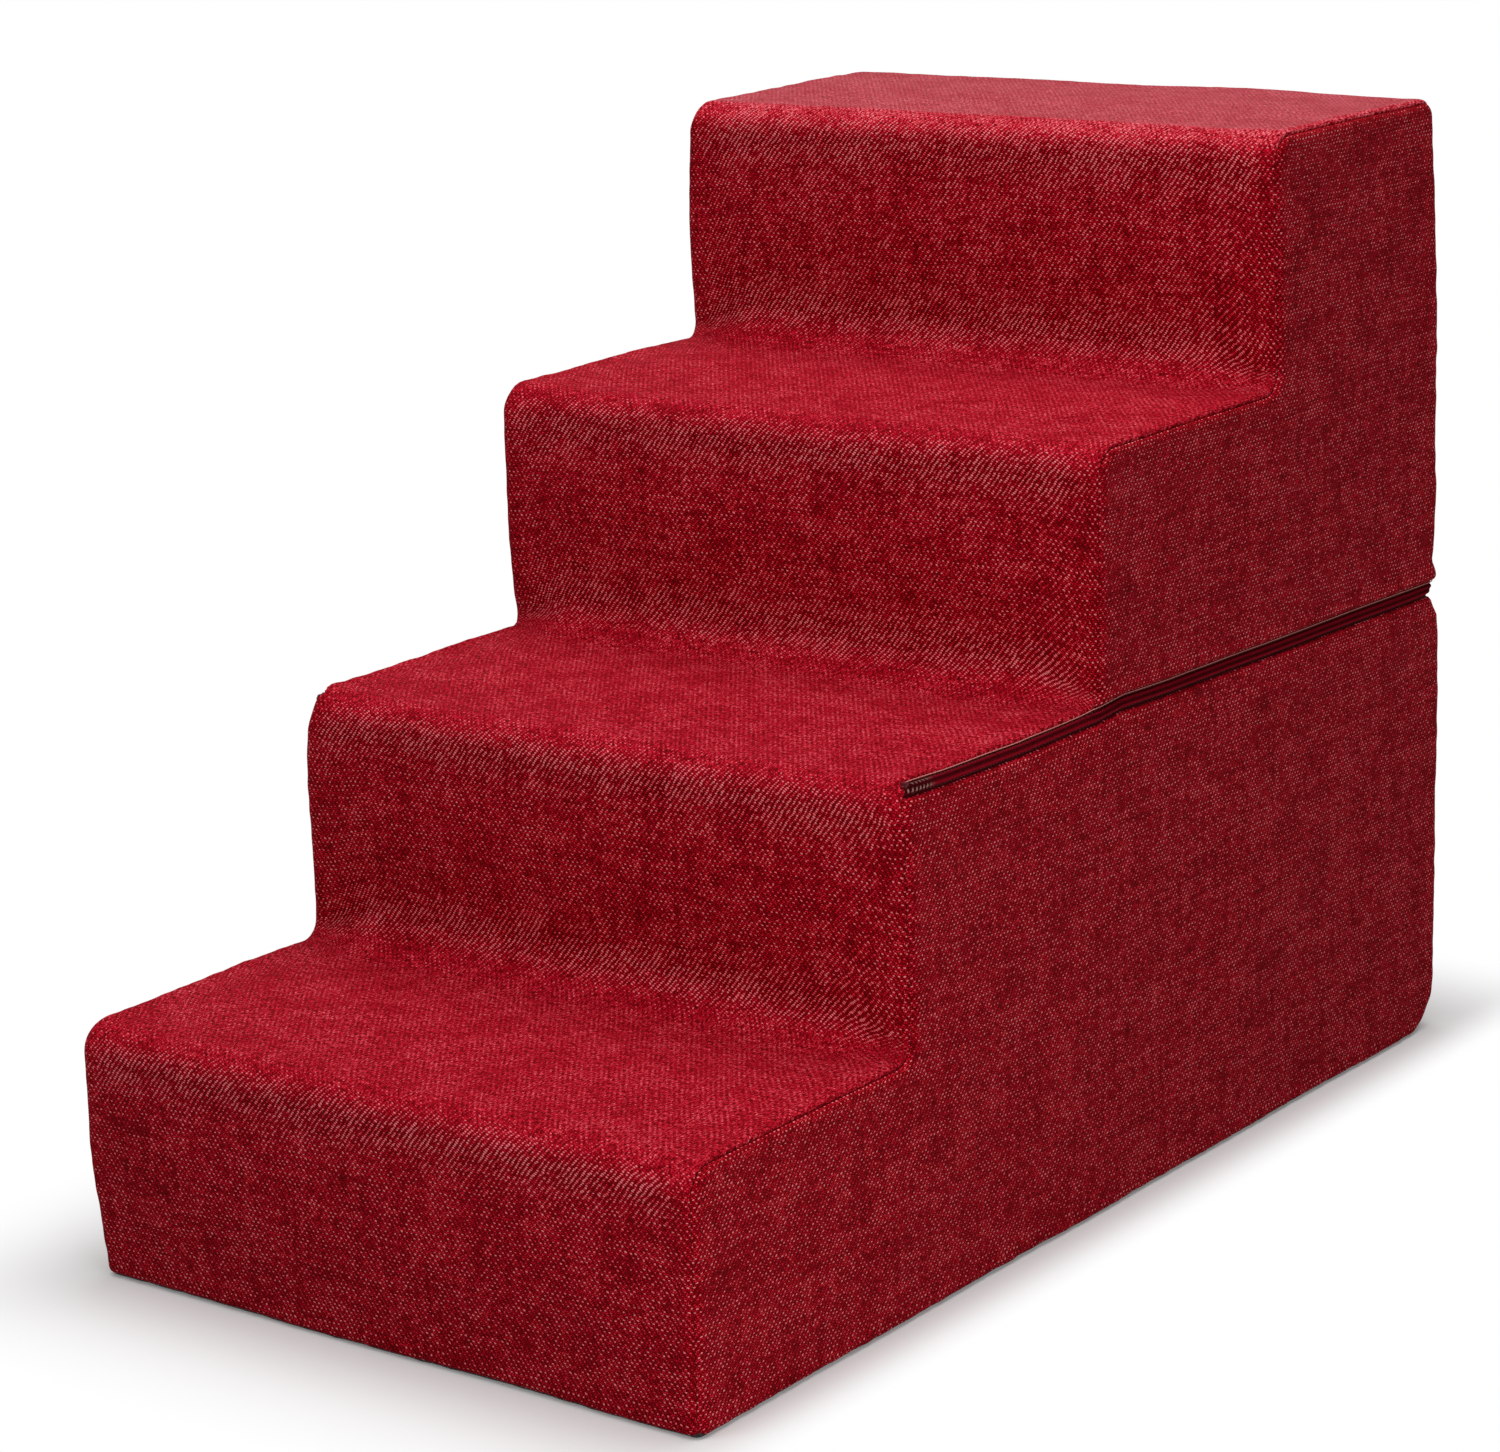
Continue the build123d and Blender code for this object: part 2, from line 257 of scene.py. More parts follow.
FOOT_FRONT = 0
ZIP_NOSING = 2 * STEPS_BELOW_ZIP - 1
ZIP_COVE = ZIP_NOSING + 1
TOP_BACK = 2 * STEPS
FOOT_BACK = TOP_BACK + 1
FRONT_SEAM = corner_index(FOOT_FRONT, arc_share(FOOT_FRONT_RADIUS, FOOT_SEAM_RISE))
BACK_FOOT_SEAM = corner_index(FOOT_BACK, 1 - arc_share(FOOT_BACK_RADIUS, FOOT_SEAM_RISE))


def back_index(z):
    """Sample number on the straight back at a height."""
    start, end = corner_index(TOP_BACK, 1), corner_index(FOOT_BACK)
    high, low = TOP - TOP_BACK_RADIUS, FOOT_BACK_RADIUS
    return start + (high - z) / (high - low) * (end - start)


TOP_SEAM = corner_index(TOP_BACK, TOP_SEAM_SHARE)
BAND_TOP = ZIP_Z + BAND_HALF
BAND_FOOT = ZIP_Z - BAND_HALF
BACK_REACH = BACK - EDGE_RADIUS
BACK_MIDDLE = BACK_REACH + EDGE_RADIUS * math.pi / 2 + FLAT_SIDE


def nearest_segments(points, starts, ends):
    """The nearest of many segments to each point, as its number plus the share along it, and how far."""
    ways = ends - starts
    squares = np.maximum(np.einsum("ij,ij->i", ways, ways), TINY ** 2)
    places, distances = [], []
    for chunk in np.array_split(points, max(1, len(points) // POINTS_AT_ONCE)):
        offset = chunk[:, None] - starts[None]
        share = np.clip(np.einsum("ijk,jk->ij", offset, ways) / squares, 0, 1)
        gap = offset - share[..., None] * ways[None]
        squared = np.einsum("ijk,ijk->ij", gap, gap)
        best = np.argmin(squared, axis=1)
        rows = np.arange(len(chunk))
        places.append(best + share[rows, best])
        distances.append(np.sqrt(squared[rows, best]))
    return np.concatenate(places), np.concatenate(distances)


def on_side(points):
    """Maps places of the laid-out right side on to the rounded shape, with outward ways and how level."""
    index, _ = nearest_segments(points, INNER, np.roll(INNER, -1, axis=0))
    base, (_, normal) = between(INNER, index), BESIDE.at(index)
    out = np.einsum("ij,ij->i", points - base, normal)
    rounded = out > 0
    angle = np.clip(np.where(rounded, out, 0) / EDGE_RADIUS, 0, math.pi / 2)
    past = np.maximum(out - EDGE_RADIUS * math.pi / 2, 0)
    flat = np.where(rounded[:, None], base, points)
    way = np.column_stack([np.cos(angle), np.sin(angle) * normal[:, 0], np.sin(angle) * normal[:, 1]])
    place = np.column_stack([FLAT_SIDE + EDGE_RADIUS * way[:, 0] - past, flat + EDGE_RADIUS * way[:, 1:]])
    return place, way, normal[:, 1]


def step_edge_reach(index):
    """How far out of the inner outline the step cloth ends: at the seam, or at the top of the zip band."""
    place, normal = BESIDE.at(index)
    inner = place - EDGE_RADIUS * normal
    straight = (BAND_TOP - inner[..., 1]) / np.maximum(normal[..., 1], LEAST_RISE)
    start, end = corner_index(ZIP_NOSING), corner_index(ZIP_COVE, BAND_END_SHARE)
    band = np.where((index >= start) & (index <= end), np.maximum(straight, SEAM_REACH), SEAM_REACH)
    front = inner[..., 0] + band * normal[..., 0]
    open_share = smooth((front - (ZIP_TIP_Y - ZIP_TIP_FADE)) / ZIP_TIP_FADE)
    return SEAM_REACH + (band - SEAM_REACH) * open_share


# Swell and waist, by height: how far the sides and the back stand out of their flat planes
SWELL_HEIGHTS = np.array([0, 59, 141, 200, 246, 260, 268, 273, 279, 291, 300, 330, 430, 500, 564]) * MM
SIDE_SWELL = np.array([0.8, 1.6, 2.4, 2.6, 2.4, 1.6, -0.1, -1.2, -1.2, -0.6, 0.4, 1.2, 2.2, 1.6, 0.4]) * MM
LEFT_SWELL = np.array([-3, 1, 2.4, -1, -1, -1, -0.5, 0, 0.5, 1.2, 2, 2, 2.2, 2.6, 2.6]) * MM
BACK_SWELL = np.array([1, 2.6, 2.2, 2.6, 4.0, 3.2, 0.6, -1.4, -1.4, -1.0, 0.6, 1.2, 0.8, 0.4, 0]) * MM
HEM_HEIGHT = 286.5 * MM
HEM_HALF = 7.5 * MM
HEM_PUFF_SIDE = 0.5 * MM
HEM_PUFF_BACK = 3.2 * MM
BACK_BLEND = 45 * MM

# The zip's line on the right side and the back: how far it lies above or below its level, by length
SAG_PLACES = np.array([-366, -180, -140, -70, 0, 24, 70, 140, 230, 300, 366]) * MM
SAG_DROPS = np.array([0, 2.5, 0.5, -1, -0.5, 1.4, -0.6, -1.8, -3.6, -5.0, -6.0]) * MM
SAG_HALF = 26 * MM
LEFT_SAG = -5.2 * MM
LEFT_SAG_START = 6 * MM
LEFT_SAG_END = 1 * MM
LEFT_BULGE = 1.8 * MM
FLOOR_EDGE = 10 * MM
FLOOR_POWER = 1.6

rng = np.random.default_rng(WAVE_SEED)


def wave_set(length, height, count):
    """Random sines that add up to a slow ripple of about the given length and height."""
    ways = unit(rng.normal(size=(count, 3)))
    pace = 2 * math.pi / (length * rng.uniform(*WAVE_SPREAD, size=(count, 1)))
    return ways * pace, rng.uniform(0, 2 * math.pi, size=count), height * math.sqrt(2 / count)


RIPPLES = [wave_set(*wave) for wave in WAVES]
PUCKERS = wave_set(*PUCKER_WAVES)


def ripple(places, waves):
    """Height of a set of waves at places."""
    ways, starts, height = waves
    return height * np.sin(places @ ways.T + starts).sum(axis=1)


def at_back(places):
    """A share that rises to 1 at the back."""
    return smooth((places[:, 1] - (BACK - BACK_BLEND)) / BACK_BLEND)


def sag(places):
    """How far the zip's line is shifted up or down near places."""
    x, y, z = places.T
    share = np.where(y > BACK_REACH, smooth(np.interp(x, (-SIDE, SIDE), (0, 1))), (x > 0) * 1.0)
    drop = np.interp(y, SAG_PLACES, SAG_DROPS) * share + LEFT_SAG * (1 - share)
    starts = np.where(x < 0, LEFT_SAG_START, SIDE_BLEND / 2)
    ends = np.where(x < 0, LEFT_SAG_END, EDGE_RADIUS)
    beside = smooth((np.abs(x) - (SIDE - starts)) / (starts - ends))
    return drop * bell((z - ZIP_Z) / SAG_HALF) * np.maximum(beside, at_back(places))


def stuffed(places, ways):
    """Gives flat-sided places their swell, waist, ripples and the zip's sag."""
    places = places + ways * sum(ripple(places, waves) for waves in RIPPLES)[:, None]
    height = places[:, 2]
    across = places[:, 0] / SIDE
    behind = at_back(places)
    hem = np.clip(1 - np.square((height - HEM_HEIGHT) / HEM_HALF), 0, 1)
    side_hem = HEM_PUFF_SIDE + (HEM_PUFF_BACK / 2 - HEM_PUFF_SIDE) * behind
    level = np.maximum(height + sag(places), 0)
    left_swell = np.interp(height, SWELL_HEIGHTS, LEFT_SWELL)
    left_swell = left_swell + LEFT_BULGE * np.sin(math.pi * height / STEP_RISE) ** 2
    side_swell = np.interp(height, SWELL_HEIGHTS, SIDE_SWELL) + np.where(across < 0, left_swell, 0)
    back_swell = np.interp(height, SWELL_HEIGHTS, BACK_SWELL) + hem * HEM_PUFF_BACK
    near_floor = FLOOR_EDGE * (level / FLOOR_EDGE) ** FLOOR_POWER
    return np.column_stack([places[:, 0] + across * (side_swell + hem * side_hem),
                            places[:, 1] + behind * back_swell,
                            np.where(level < FLOOR_EDGE, near_floor, level)])


def add_object(name, data):
    """An object with its data, put in the scene."""
    thing = bpy.data.objects.new(name, data)
    bpy.context.scene.collection.objects.link(thing)
    return thing


def mesh_object(name, vertices, faces, uvs=None, values=None, smooth_faces=True):
    """A mesh object from arrays, with laid-out coordinates in metres and named point values."""
    mesh = bpy.data.meshes.new(name)
    mesh.from_pydata(np.asarray(vertices).tolist(), [], [list(face) for face in faces])
    mesh.validate()
    if uvs is not None:
        layer = mesh.uv_layers.new(name="cloth")
        order = np.zeros(len(mesh.loops), int)
        mesh.loops.foreach_get("vertex_index", order)
        layer.data.foreach_set("uv", np.asarray(uvs)[order].astype(np.float32).ravel())
    for key, data in (values or {}).items():
        data = np.asarray(data, np.float32).ravel()
        mesh.attributes.new(key, "FLOAT", "POINT").data.foreach_set("value", data)
    if smooth_faces:
        shade_smooth(mesh)
    mesh.update()
    return add_object(name, mesh)


def shade_smooth(mesh):
    """Makes all faces of a mesh look smooth."""
    mesh.polygons.foreach_set("use_smooth", [True] * len(mesh.polygons))


def grid_faces(rows, columns, closed=False):
    """Faces of a grid whose points run along each row in turn."""
    index = np.arange(rows * columns).reshape(rows, columns)
    if closed:
        index = np.hstack([index, index[:, :1]])
    corners = [index[:-1, :-1], index[:-1, 1:], index[1:, 1:], index[1:, :-1]]
    return np.stack(corners, axis=-1).reshape(-1, 4).tolist()


def graded(start, end, step):
    """Places from start to end: close rows beside both ends, and even steps between them."""
    inner = SEAM_ROWS[-1]
    count = max(2, int(round((end - start - 2 * inner) / step)) + 1)
    middle = np.linspace(start + inner, end - inner, count)
    return np.concatenate([start + SEAM_ROWS[:-1], middle, (end - SEAM_ROWS[:-1])[::-1]])


def edge_height(distance, lip_share, depth=1.0):
    """Height over the cloth at a distance from its edge, for a seam, a zip lip or between them."""
    seam = np.interp(distance, SEAM_ROWS, SEAM_HEIGHTS) * depth
    lip = np.interp(distance, SEAM_ROWS, LIP_HEIGHTS)
    return seam + (lip - seam) * lip_share


def seam_depth(level_share):
    """A seam is pulled deep along the treads, and lies nearly flat up the risers."""
    return SEAM_UPRIGHT_SHARE + (1 - SEAM_UPRIGHT_SHARE) * np.square(level_share)


def thicken(piece, depth):
    """Gives a sheet its thickness, inward."""
    piece.modifiers.new("thickness", "SOLIDIFY").thickness = depth
    return piece


def cover_cloth(name, places, ways, height, from_edge, faces, uvs, values):
    """A cloth at its own height over the stuffed shape, with gathers beside its edge."""
    gathers = bell(from_edge / PUCKER_FADE) * smooth(from_edge / PUCKER_START)
    height = height + ripple(places, PUCKERS) * gathers
    places = stuffed(places, ways) + ways * height[:, None]
    places[:, 2] = np.maximum(places[:, 2], 0)
    corners = [places[[face[i] for face in faces]] for i in range(3)]
    normals = np.cross(corners[1] - corners[0], corners[2] - corners[0])
    inward = np.einsum("ij,ij->i", normals, ways[[face[0] for face in faces]]) < 0
    faces = [face[::-1] if turn else face for face, turn in zip(faces, inward)]
    return thicken(mesh_object("cover_" + name, places, faces, uvs, values), CLOTH)


def wrap_panel(name, first, last, lips, edge_reach=None, u_sign=1):
    """A panel across the stairs, which runs along the outline from one sample number to another."""
    lengths = graded(MIDDLE.length_at(first), MIDDLE.length_at(last), ROW_STEP)
    index = MIDDLE.index_at(lengths)
    reach = np.full(len(index), SEAM_REACH) if edge_reach is None else edge_reach(index)
    half = FLAT_SIDE + EDGE_RADIUS * math.pi / 2 - reach
    widest, edge_row = half.max(), SEAM_ROWS[-1]
    share = graded(-1.0 * widest, widest, COLUMN_STEP)
    from_sides = widest - np.abs(share)
    squeeze = (half[:, None] - edge_row) / (widest - edge_row)
    across = np.where(from_sides[None] < edge_row * (1 + TINY),
                      np.sign(share)[None] * (half[:, None] - from_sides[None]), share[None] * squeeze)
    centre, centre_normal = MIDDLE.at(index)
    edge, edge_normal = BESIDE.at(index)
    mix = smooth((np.abs(across) - (SIDE - SIDE_BLEND)) / (SIDE_BLEND - EDGE_RADIUS))[..., None]
    flat = centre[:, None] * (1 - mix) + edge[:, None] * mix
    normal = unit(centre_normal[:, None] * (1 - mix) + edge_normal[:, None] * mix)
    angle = np.maximum(np.abs(across) - FLAT_SIDE, 0) / EDGE_RADIUS
    x = np.sign(across) * (np.minimum(np.abs(across), FLAT_SIDE) + EDGE_RADIUS * np.sin(angle))
    inward = EDGE_RADIUS * (1 - np.cos(angle))[..., None]
    places = np.dstack([x, flat - inward * normal]).reshape(-1, 3)
    ways = np.dstack([np.sign(across) * np.sin(angle), np.cos(angle)[..., None] * normal]).reshape(-1, 3)
    from_start, from_end = lengths - lengths[0], lengths[-1] - lengths
    from_ends = np.minimum(from_start, from_end)
    nearer_lip = np.where(from_start < from_end, lips[0], lips[1])
    zip_side = smooth(np.abs(reach - SEAM_REACH) / ZIP_LIP_FADE)[:, None]
    height = edge_height(from_ends, nearer_lip)[:, None]
    height = height + edge_height(from_sides[None], zip_side, seam_depth(edge_normal[:, 1])[:, None])
    from_edge = np.minimum(from_ends[:, None], from_sides[None]).ravel()
    # Painted highlight at the bends, fading near the side edges
    edge_fade = 1 - EDGE_FADE_SHARE * bell(from_sides / EDGE_FADE_REACH)[None]
    glow = bend_glow(lengths)[:, None] * edge_fade
    level = np.clip(centre_normal[:, 1:], 0, 1) * np.ones(len(share))[None]
    # Painted light from above: the weft rows are toned more evenly higher up the risers
    light_from_above = ROW_LIGHT_AT_TOP * centre[:, 1:] / TOP * (1 - level)
    # Painted highlight and sheen on the top tread, found from its height
    top_sheen = smooth((flat[..., 1] - (TOP - TOP_SHEEN_DEPTH)) / TOP_SHEEN_DEPTH + TOP_SHEEN_START_SHARE)
    values = {"row_light": np.clip(glow + light_from_above * edge_fade, 0, 1), "glow": glow, "level": level, "top_sheen": top_sheen}
    uvs = np.column_stack([(u_sign * across).ravel(), np.repeat(lengths, len(share))])
    return cover_cloth(name, places, ways, height.ravel(), from_edge, grid_faces(*across.shape), uvs, values)


def bend_glow(lengths):
    """Painted highlight along the outline: 1 just below nosings and just above coves, where the floats catch
    the light.
    """
    glow = np.zeros(len(lengths))
    for corner in range(1, TOP_BACK):
        nosing = corner % 2 == 1
        place_share = NOSING_GLOW_SHARE if nosing else COVE_GLOW_SHARE
        away = lengths - MIDDLE.length_at(corner_index(corner, place_share))
        on_riser = away < 0 if nosing else away > 0
        glow = np.maximum(glow, bell(away / np.where(on_riser, RISER_GLOW_REACH, TREAD_GLOW_REACH)))
    return glow


def line_distance(points, line):
    """Distance of points from an open polyline."""
    return nearest_segments(points, line[:-1], line[1:])[1]


def closed_ring(ring):
    """A ring with its first point again at its end."""
    return np.vstack([ring, ring[:1]])


def resampled(line, step):
    """The same polyline with points at an even step."""
    lengths = line_lengths(line)
    places = np.linspace(0, lengths[-1], max(2, int(lengths[-1] / step) + 1))
    return np.column_stack([np.interp(places, lengths, line[:, axis]) for axis in (0, 1)])


def inside(points, ring):
    """Which points lie inside a closed ring."""
    x, y = points[:, :1], points[:, 1:]
    (x1, y1), (x2, y2) = ring.T, np.roll(ring, -1, axis=0).T
    rise = np.where(y1 == y2, TINY, y2 - y1)
    hits = ((y1 > y) != (y2 > y)) & (x < (x2 - x1) * (y - y1) / rise + x1)
    return hits.sum(axis=1) % 2 == 1


def ring_normals(ring):
    """Ways that point to the left of a closed ring as one goes round it."""
    ways = unit(np.roll(ring, -1, axis=0) - np.roll(ring, 1, axis=0))
    return np.column_stack([-ways[:, 1], ways[:, 0]])


def ring_net(ring, step, margin, row_step, stagger=0.0):
    """An even net of points inside a ring, at least a margin from it."""
    low, high = ring.min(axis=0), ring.max(axis=0)
    columns = np.arange(low[0], high[0], step)
    levels = np.arange(low[1], high[1], row_step)
    net = np.array([(y + (row % 2) * stagger, z) for row, z in enumerate(levels) for y in columns])
    net = net[inside(net, ring)]
    return net[line_distance(net, closed_ring(ring)) > margin]


def filled(points, border_count):
    """Flat points and triangles that fill the ring made by the first of the given points."""
    border = [(i, (i + 1) % border_count) for i in range(border_count)]
    result = delaunay_2d_cdt([Vector(p) for p in points], border, [], 1, FILL_REACH)
    return np.array([tuple(v) for v in result[0]]), [list(face) for face in result[2]]


def side_points(ring):
    """Points of a laid-out side panel: rows beside its edge, and an even net inside them."""
    inward = -ring_normals(ring)
    points = [ring]
    for distance in SEAM_ROWS[1:]:
        row = ring + inward * distance
        row = row[inside(row, ring)]
        points.append(row[line_distance(row, closed_ring(ring)) > distance * ROW_SPACE_SHARE])
    margin = SEAM_ROWS[-1] + SIDE_STEP / 2
    points.append(ring_net(ring, SIDE_STEP, margin, SIDE_STEP * math.sqrt(3) / 2, SIDE_STEP / 2))
    return np.vstack(points)


def side_panel(name, seam, lip, side):
    """A side cloth between a seam line and a zip lip line, which together run clockwise round it."""
    seam, lip = resampled(seam, BORDER_STEP), resampled(lip, BORDER_STEP)
    ring = np.vstack([seam, lip[1:-1]])
    flat, faces = filled(side_points(ring), len(ring))
    places, ways, level_share = on_side(flat)
    from_seam, from_lip = line_distance(flat, seam), line_distance(flat, lip)
    height = edge_height(from_seam, 0, seam_depth(level_share)) + edge_height(from_lip, 1)
    places[:, 0] *= side
    ways[:, 0] *= side
    from_edge = np.minimum(from_seam, from_lip)
    uvs = np.column_stack([-side * flat[:, 0], flat[:, 1]])
    # Painted highlight along the side seam, where the weft rows are also evened
    glow = bell(from_seam / SEAM_GLOW_REACH) * SEAM_GLOW
    values = {"row_light": glow, "glow": glow, "level": 0 * glow}
    faces = [face[::-side] for face in faces]
    return cover_cloth(name, places, ways, height, from_edge, faces, uvs, values)


def seam_line(first, last):
    """The side seam in the laid-out side, between two sample numbers."""
    lengths = np.arange(BESIDE.length_at(first), BESIDE.length_at(last), BORDER_STEP / 2)
    place, normal = BESIDE.at(BESIDE.index_at(lengths))
    return place - (EDGE_RADIUS - SEAM_REACH) * normal


def lower_side_panel(label, side):
    """Side cloth below the zip: up the steps, over the nosing to the zip, and round by back and base."""
    drop = ZIP_TIP_Y - (WAIST_NOSING + NOSING_RADIUS_SIDE)
    tip_turn = math.asin(-drop / (NOSING_RADIUS_SIDE - EDGE_RADIUS + SEAM_REACH))
    front = seam_line(FRONT_SEAM, corner_index(ZIP_NOSING, 1 - tip_turn / (math.pi / 2)))
    back = (BACK_REACH + SEAM_REACH, BAND_FOOT)
    rest = seam_line(back_index(BAND_FOOT), BESIDE.count + FRONT_SEAM)
    lip = np.vstack([front[-1:], (ZIP_TIP_Y, BAND_FOOT), back])
    return side_panel("lower_side_" + label, np.vstack([back, rest, front]), lip, side)


def upper_side_panel(label, side):
    """Side cloth above the zip."""
    cove = seam_line(corner_index(ZIP_COVE), corner_index(TOP_BACK, 1))
    cove = cove[cove[:, 1] > BAND_TOP]
    start = (np.interp(BAND_TOP, *cove[:6, ::-1].T), BAND_TOP)
    end = (BACK_REACH + SEAM_REACH, BAND_TOP)
    back = seam_line(corner_index(TOP_BACK, 1), back_index(BAND_TOP))
    seam, lip = np.vstack([start, cove, back, end]), np.vstack([end, start])
    return side_panel("upper_side_" + label, seam, lip, side)


# Zip: widths across the band and heights over the cloth's surface
TAPE_DEPTH = 1.9 * MM
TAPE_HIDDEN = 2.6 * MM
TAPE_STEP = 2.0 * MM
TAPE_COLUMNS = 9
TAPE_THICKNESS = 0.5 * MM
TAPE_GAP = 0.15 * MM
RIB_HEIGHT = 0.12 * MM
RIB_WAVE = 0.55 * MM
TAPE_RIB = 0.9 * MM
TAPE_LINE = -2.55 * MM
TAPE_LINE_HALF = 0.5 * MM
TOOTH_PITCH = 1.5 * MM
TOOTH_RADIUS = 0.42 * MM
TOOTH_SIDES = 5
TOOTH_WIDENING = 1.25
TOOTH_ACROSS = np.array([2.35, 2.0, 1.35, 0.6, -0.15, -0.35]) * MM
TOOTH_OVER = np.array([-1.7, -0.55, -0.05, 0.0, -0.35, -1.1]) * MM
THREAD_PLACE = 1.75 * MM
UPPER_THREAD_IN_SHADE = 0.5
THREAD_HALF = 0.5 * MM
TIP_THREAD = 26 * MM
TIP_FADE = 8 * MM
CORD_RADIUS = 0.3 * MM
CORD_PLACE = 4.45 * MM
CORD_HEIGHT = -0.95 * MM
CORD_STEP = 1.2 * MM
CORD_SIDES = 8
CORD_LAY = 7 * MM
CORD_STRAND_SHARE = 0.22
STITCH_LENGTH = 2.2 * MM
STITCH_PITCH = 3.0 * MM
STITCH_RADIUS = 0.22 * MM
STITCH_SIDES = 6
STITCH_LIFT = 0.15 * MM
STITCH_SHAPE = np.array([(-0.5, 0.1), (-0.4, 0.8), (0, 1), (0.4, 0.8), (0.5, 0.1)])
STITCH_PLACE = -3.2 * MM
UPPER_STITCH_PLACE = 3.35 * MM
SLIDER_PIVOT_X = -205.4 * MM
SLIDER_INWARD = 0.9 * MM
SLIDER_SLIM = 0.8
STOP_INWARD = 3.4 * MM
STOP_BACKWARD = 6.2 * MM
SLIDER_BACKWARD = 4.0 * MM
ZIP_TIP_REACH = 1.5 * MM
TAPE_REACH = 3.5 * MM
THREAD_SHORTER = 5 * MM
ZIP_END = BACK_MIDDLE - ZIP_TIP_Y + ZIP_TIP_REACH
TAPE_END = ZIP_END + TAPE_REACH
THREAD_END = ZIP_END - THREAD_SHORTER
FOLD_PLACE = BACK_MIDDLE - FOLD_Y


def band_points(along, across, over):
    """Places on the zip band: signed length from the middle of the back, place across, height over."""
    along, across, over = (np.asarray(v, float).ravel() for v in np.broadcast_arrays(along, across, over))
    places, ways, _ = on_side(np.column_stack([BACK_MIDDLE - np.abs(along), ZIP_Z + across]))
    side = np.where(along < 0, -1.0, 1.0)
    places[:, 0] *= side
    ways[:, 0] *= side
    return stuffed(places, ways) + ways * over[:, None]


def even_places(start, end, step):
    """Even places along the band, about a step apart."""
    return np.linspace(start, end, max(2, int(abs(end - start) / step)))


def pitches(start, end, pitch, shift=0.5):
    """Places along the band at even pitches, which begin a share of a pitch from its start."""
    return start + (np.arange(int(abs(end - start) / pitch)) + shift) * pitch * np.sign(end - start)


def tape(name, start, end, low, high):
    """A stretch of woven tape between two lengths and two places across the band."""
    along = even_places(start, end, TAPE_STEP)
    across = np.linspace(low, high, TAPE_COLUMNS)
    grid_a, grid_w = np.meshgrid(along, across, indexing="ij")
    rib = RIB_HEIGHT * np.cos(grid_w / RIB_WAVE)
    places = band_points(grid_a, grid_w, -TAPE_DEPTH + rib)
    uvs = np.column_stack([grid_a.ravel(), grid_w.ravel()])
    return thicken(mesh_object(name, places, grid_faces(*grid_a.shape), uvs), TAPE_THICKNESS)


def circle(sides):
    """Angles evenly round a thin tube."""
    return np.linspace(0, 2 * math.pi, sides, endpoint=False)


def tube_faces(rings, sides, count=1, capped=True):
    """Faces of equal tubes, whose points run ring by ring."""
    one = grid_faces(rings, sides, closed=True)
    if capped:
        one += [list(range(sides))[::-1], [(rings - 1) * sides + i for i in range(sides)]]
    return [[v + rings * sides * tube for v in face] for tube in range(count) for face in one]


def teeth(name, start, end, half):
    """One half of the coil chain: a loop of wire at each pitch, from its tape to the middle."""
    centres = pitches(start, end, TOOTH_PITCH, 0.5 if half > 0 else 0.0)
    count = len(centres)
    around = circle(TOOTH_SIDES)
    tangents = unit(np.gradient(np.column_stack([TOOTH_ACROSS, TOOTH_OVER]), axis=0))
    across = TOOTH_ACROSS[:, None] - TOOTH_RADIUS * tangents[:, 1:] * np.sin(around)
    over = TOOTH_OVER[:, None] + TOOTH_RADIUS * tangents[:, :1] * np.sin(around)
    along = centres[:, None, None] + TOOTH_RADIUS * TOOTH_WIDENING * np.cos(around) + 0 * across
    rings, size = len(TOOTH_ACROSS), across.size
    places = band_points(along, half * across, over)
    thread = np.tile(bell((TOOTH_ACROSS - THREAD_PLACE) / THREAD_HALF).repeat(TOOTH_SIDES), count)
    tip = smooth((np.abs(along) - (ZIP_END - TIP_THREAD)) / TIP_FADE).ravel()
    dots = (np.arange(count) % 2).repeat(size)
    # The upper half's sewing thread shows at half strength: painted shade under the upper lip
    thread = thread * (1 - tip * (1 - dots)) * (1 if half < 0 else UPPER_THREAD_IN_SHADE)
    faces = tube_faces(rings, TOOTH_SIDES, count)
    return mesh_object(name, places, faces, None, {"thread": thread, "tip": tip})


def edge_cord(name, start, end):
    """The fine bright cord along the upper lip of the zip: two strands laid round each other."""
    along, around = even_places(start, end, CORD_STEP)[:, None], circle(CORD_SIDES)[None]
    grow = 1 + CORD_STRAND_SHARE * np.cos(2 * (around - along * (2 * math.pi / CORD_LAY)))
    places = band_points(along + 0 * around, CORD_PLACE + CORD_RADIUS * grow * np.cos(around),
                         CORD_HEIGHT + CORD_RADIUS * grow * np.sin(around))
    return mesh_object(name, places, tube_faces(len(along), CORD_SIDES))


def stitches(name, start, end, place):
    """A row of sewn stitches on the tape."""
    centres, around = pitches(start, end, STITCH_PITCH), circle(STITCH_SIDES)
    along = centres[:, None, None] + STITCH_SHAPE[None, :, :1] * STITCH_LENGTH + 0 * around
    thick = STITCH_RADIUS * STITCH_SHAPE[None, :, 1:]
    lift = STITCH_LIFT - TAPE_DEPTH + thick * np.sin(around)
    places = band_points(along, place + thick * np.cos(around), lift)
    return mesh_object(name, places, tube_faces(len(STITCH_SHAPE), STITCH_SIDES, len(centres), capped=False))


def shifted_copy(name, node, shift):
    """A copy of a solid's mesh in the shared frame, with every point moved by its own shift."""
    source = frame["nodes"][node]
    mesh = source.data.copy()
    mesh.name = name
    places = np.empty(len(mesh.vertices) * 3)
    mesh.vertices.foreach_get("co", places)
    turn = np.array(source.matrix_world)
    places = places.reshape(-1, 3) @ turn[:3, :3].T + turn[:3, 3]
    mesh.vertices.foreach_set("co", np.column_stack(shift(*places.T)).ravel())
    mesh.update()
    return add_object(name, mesh)


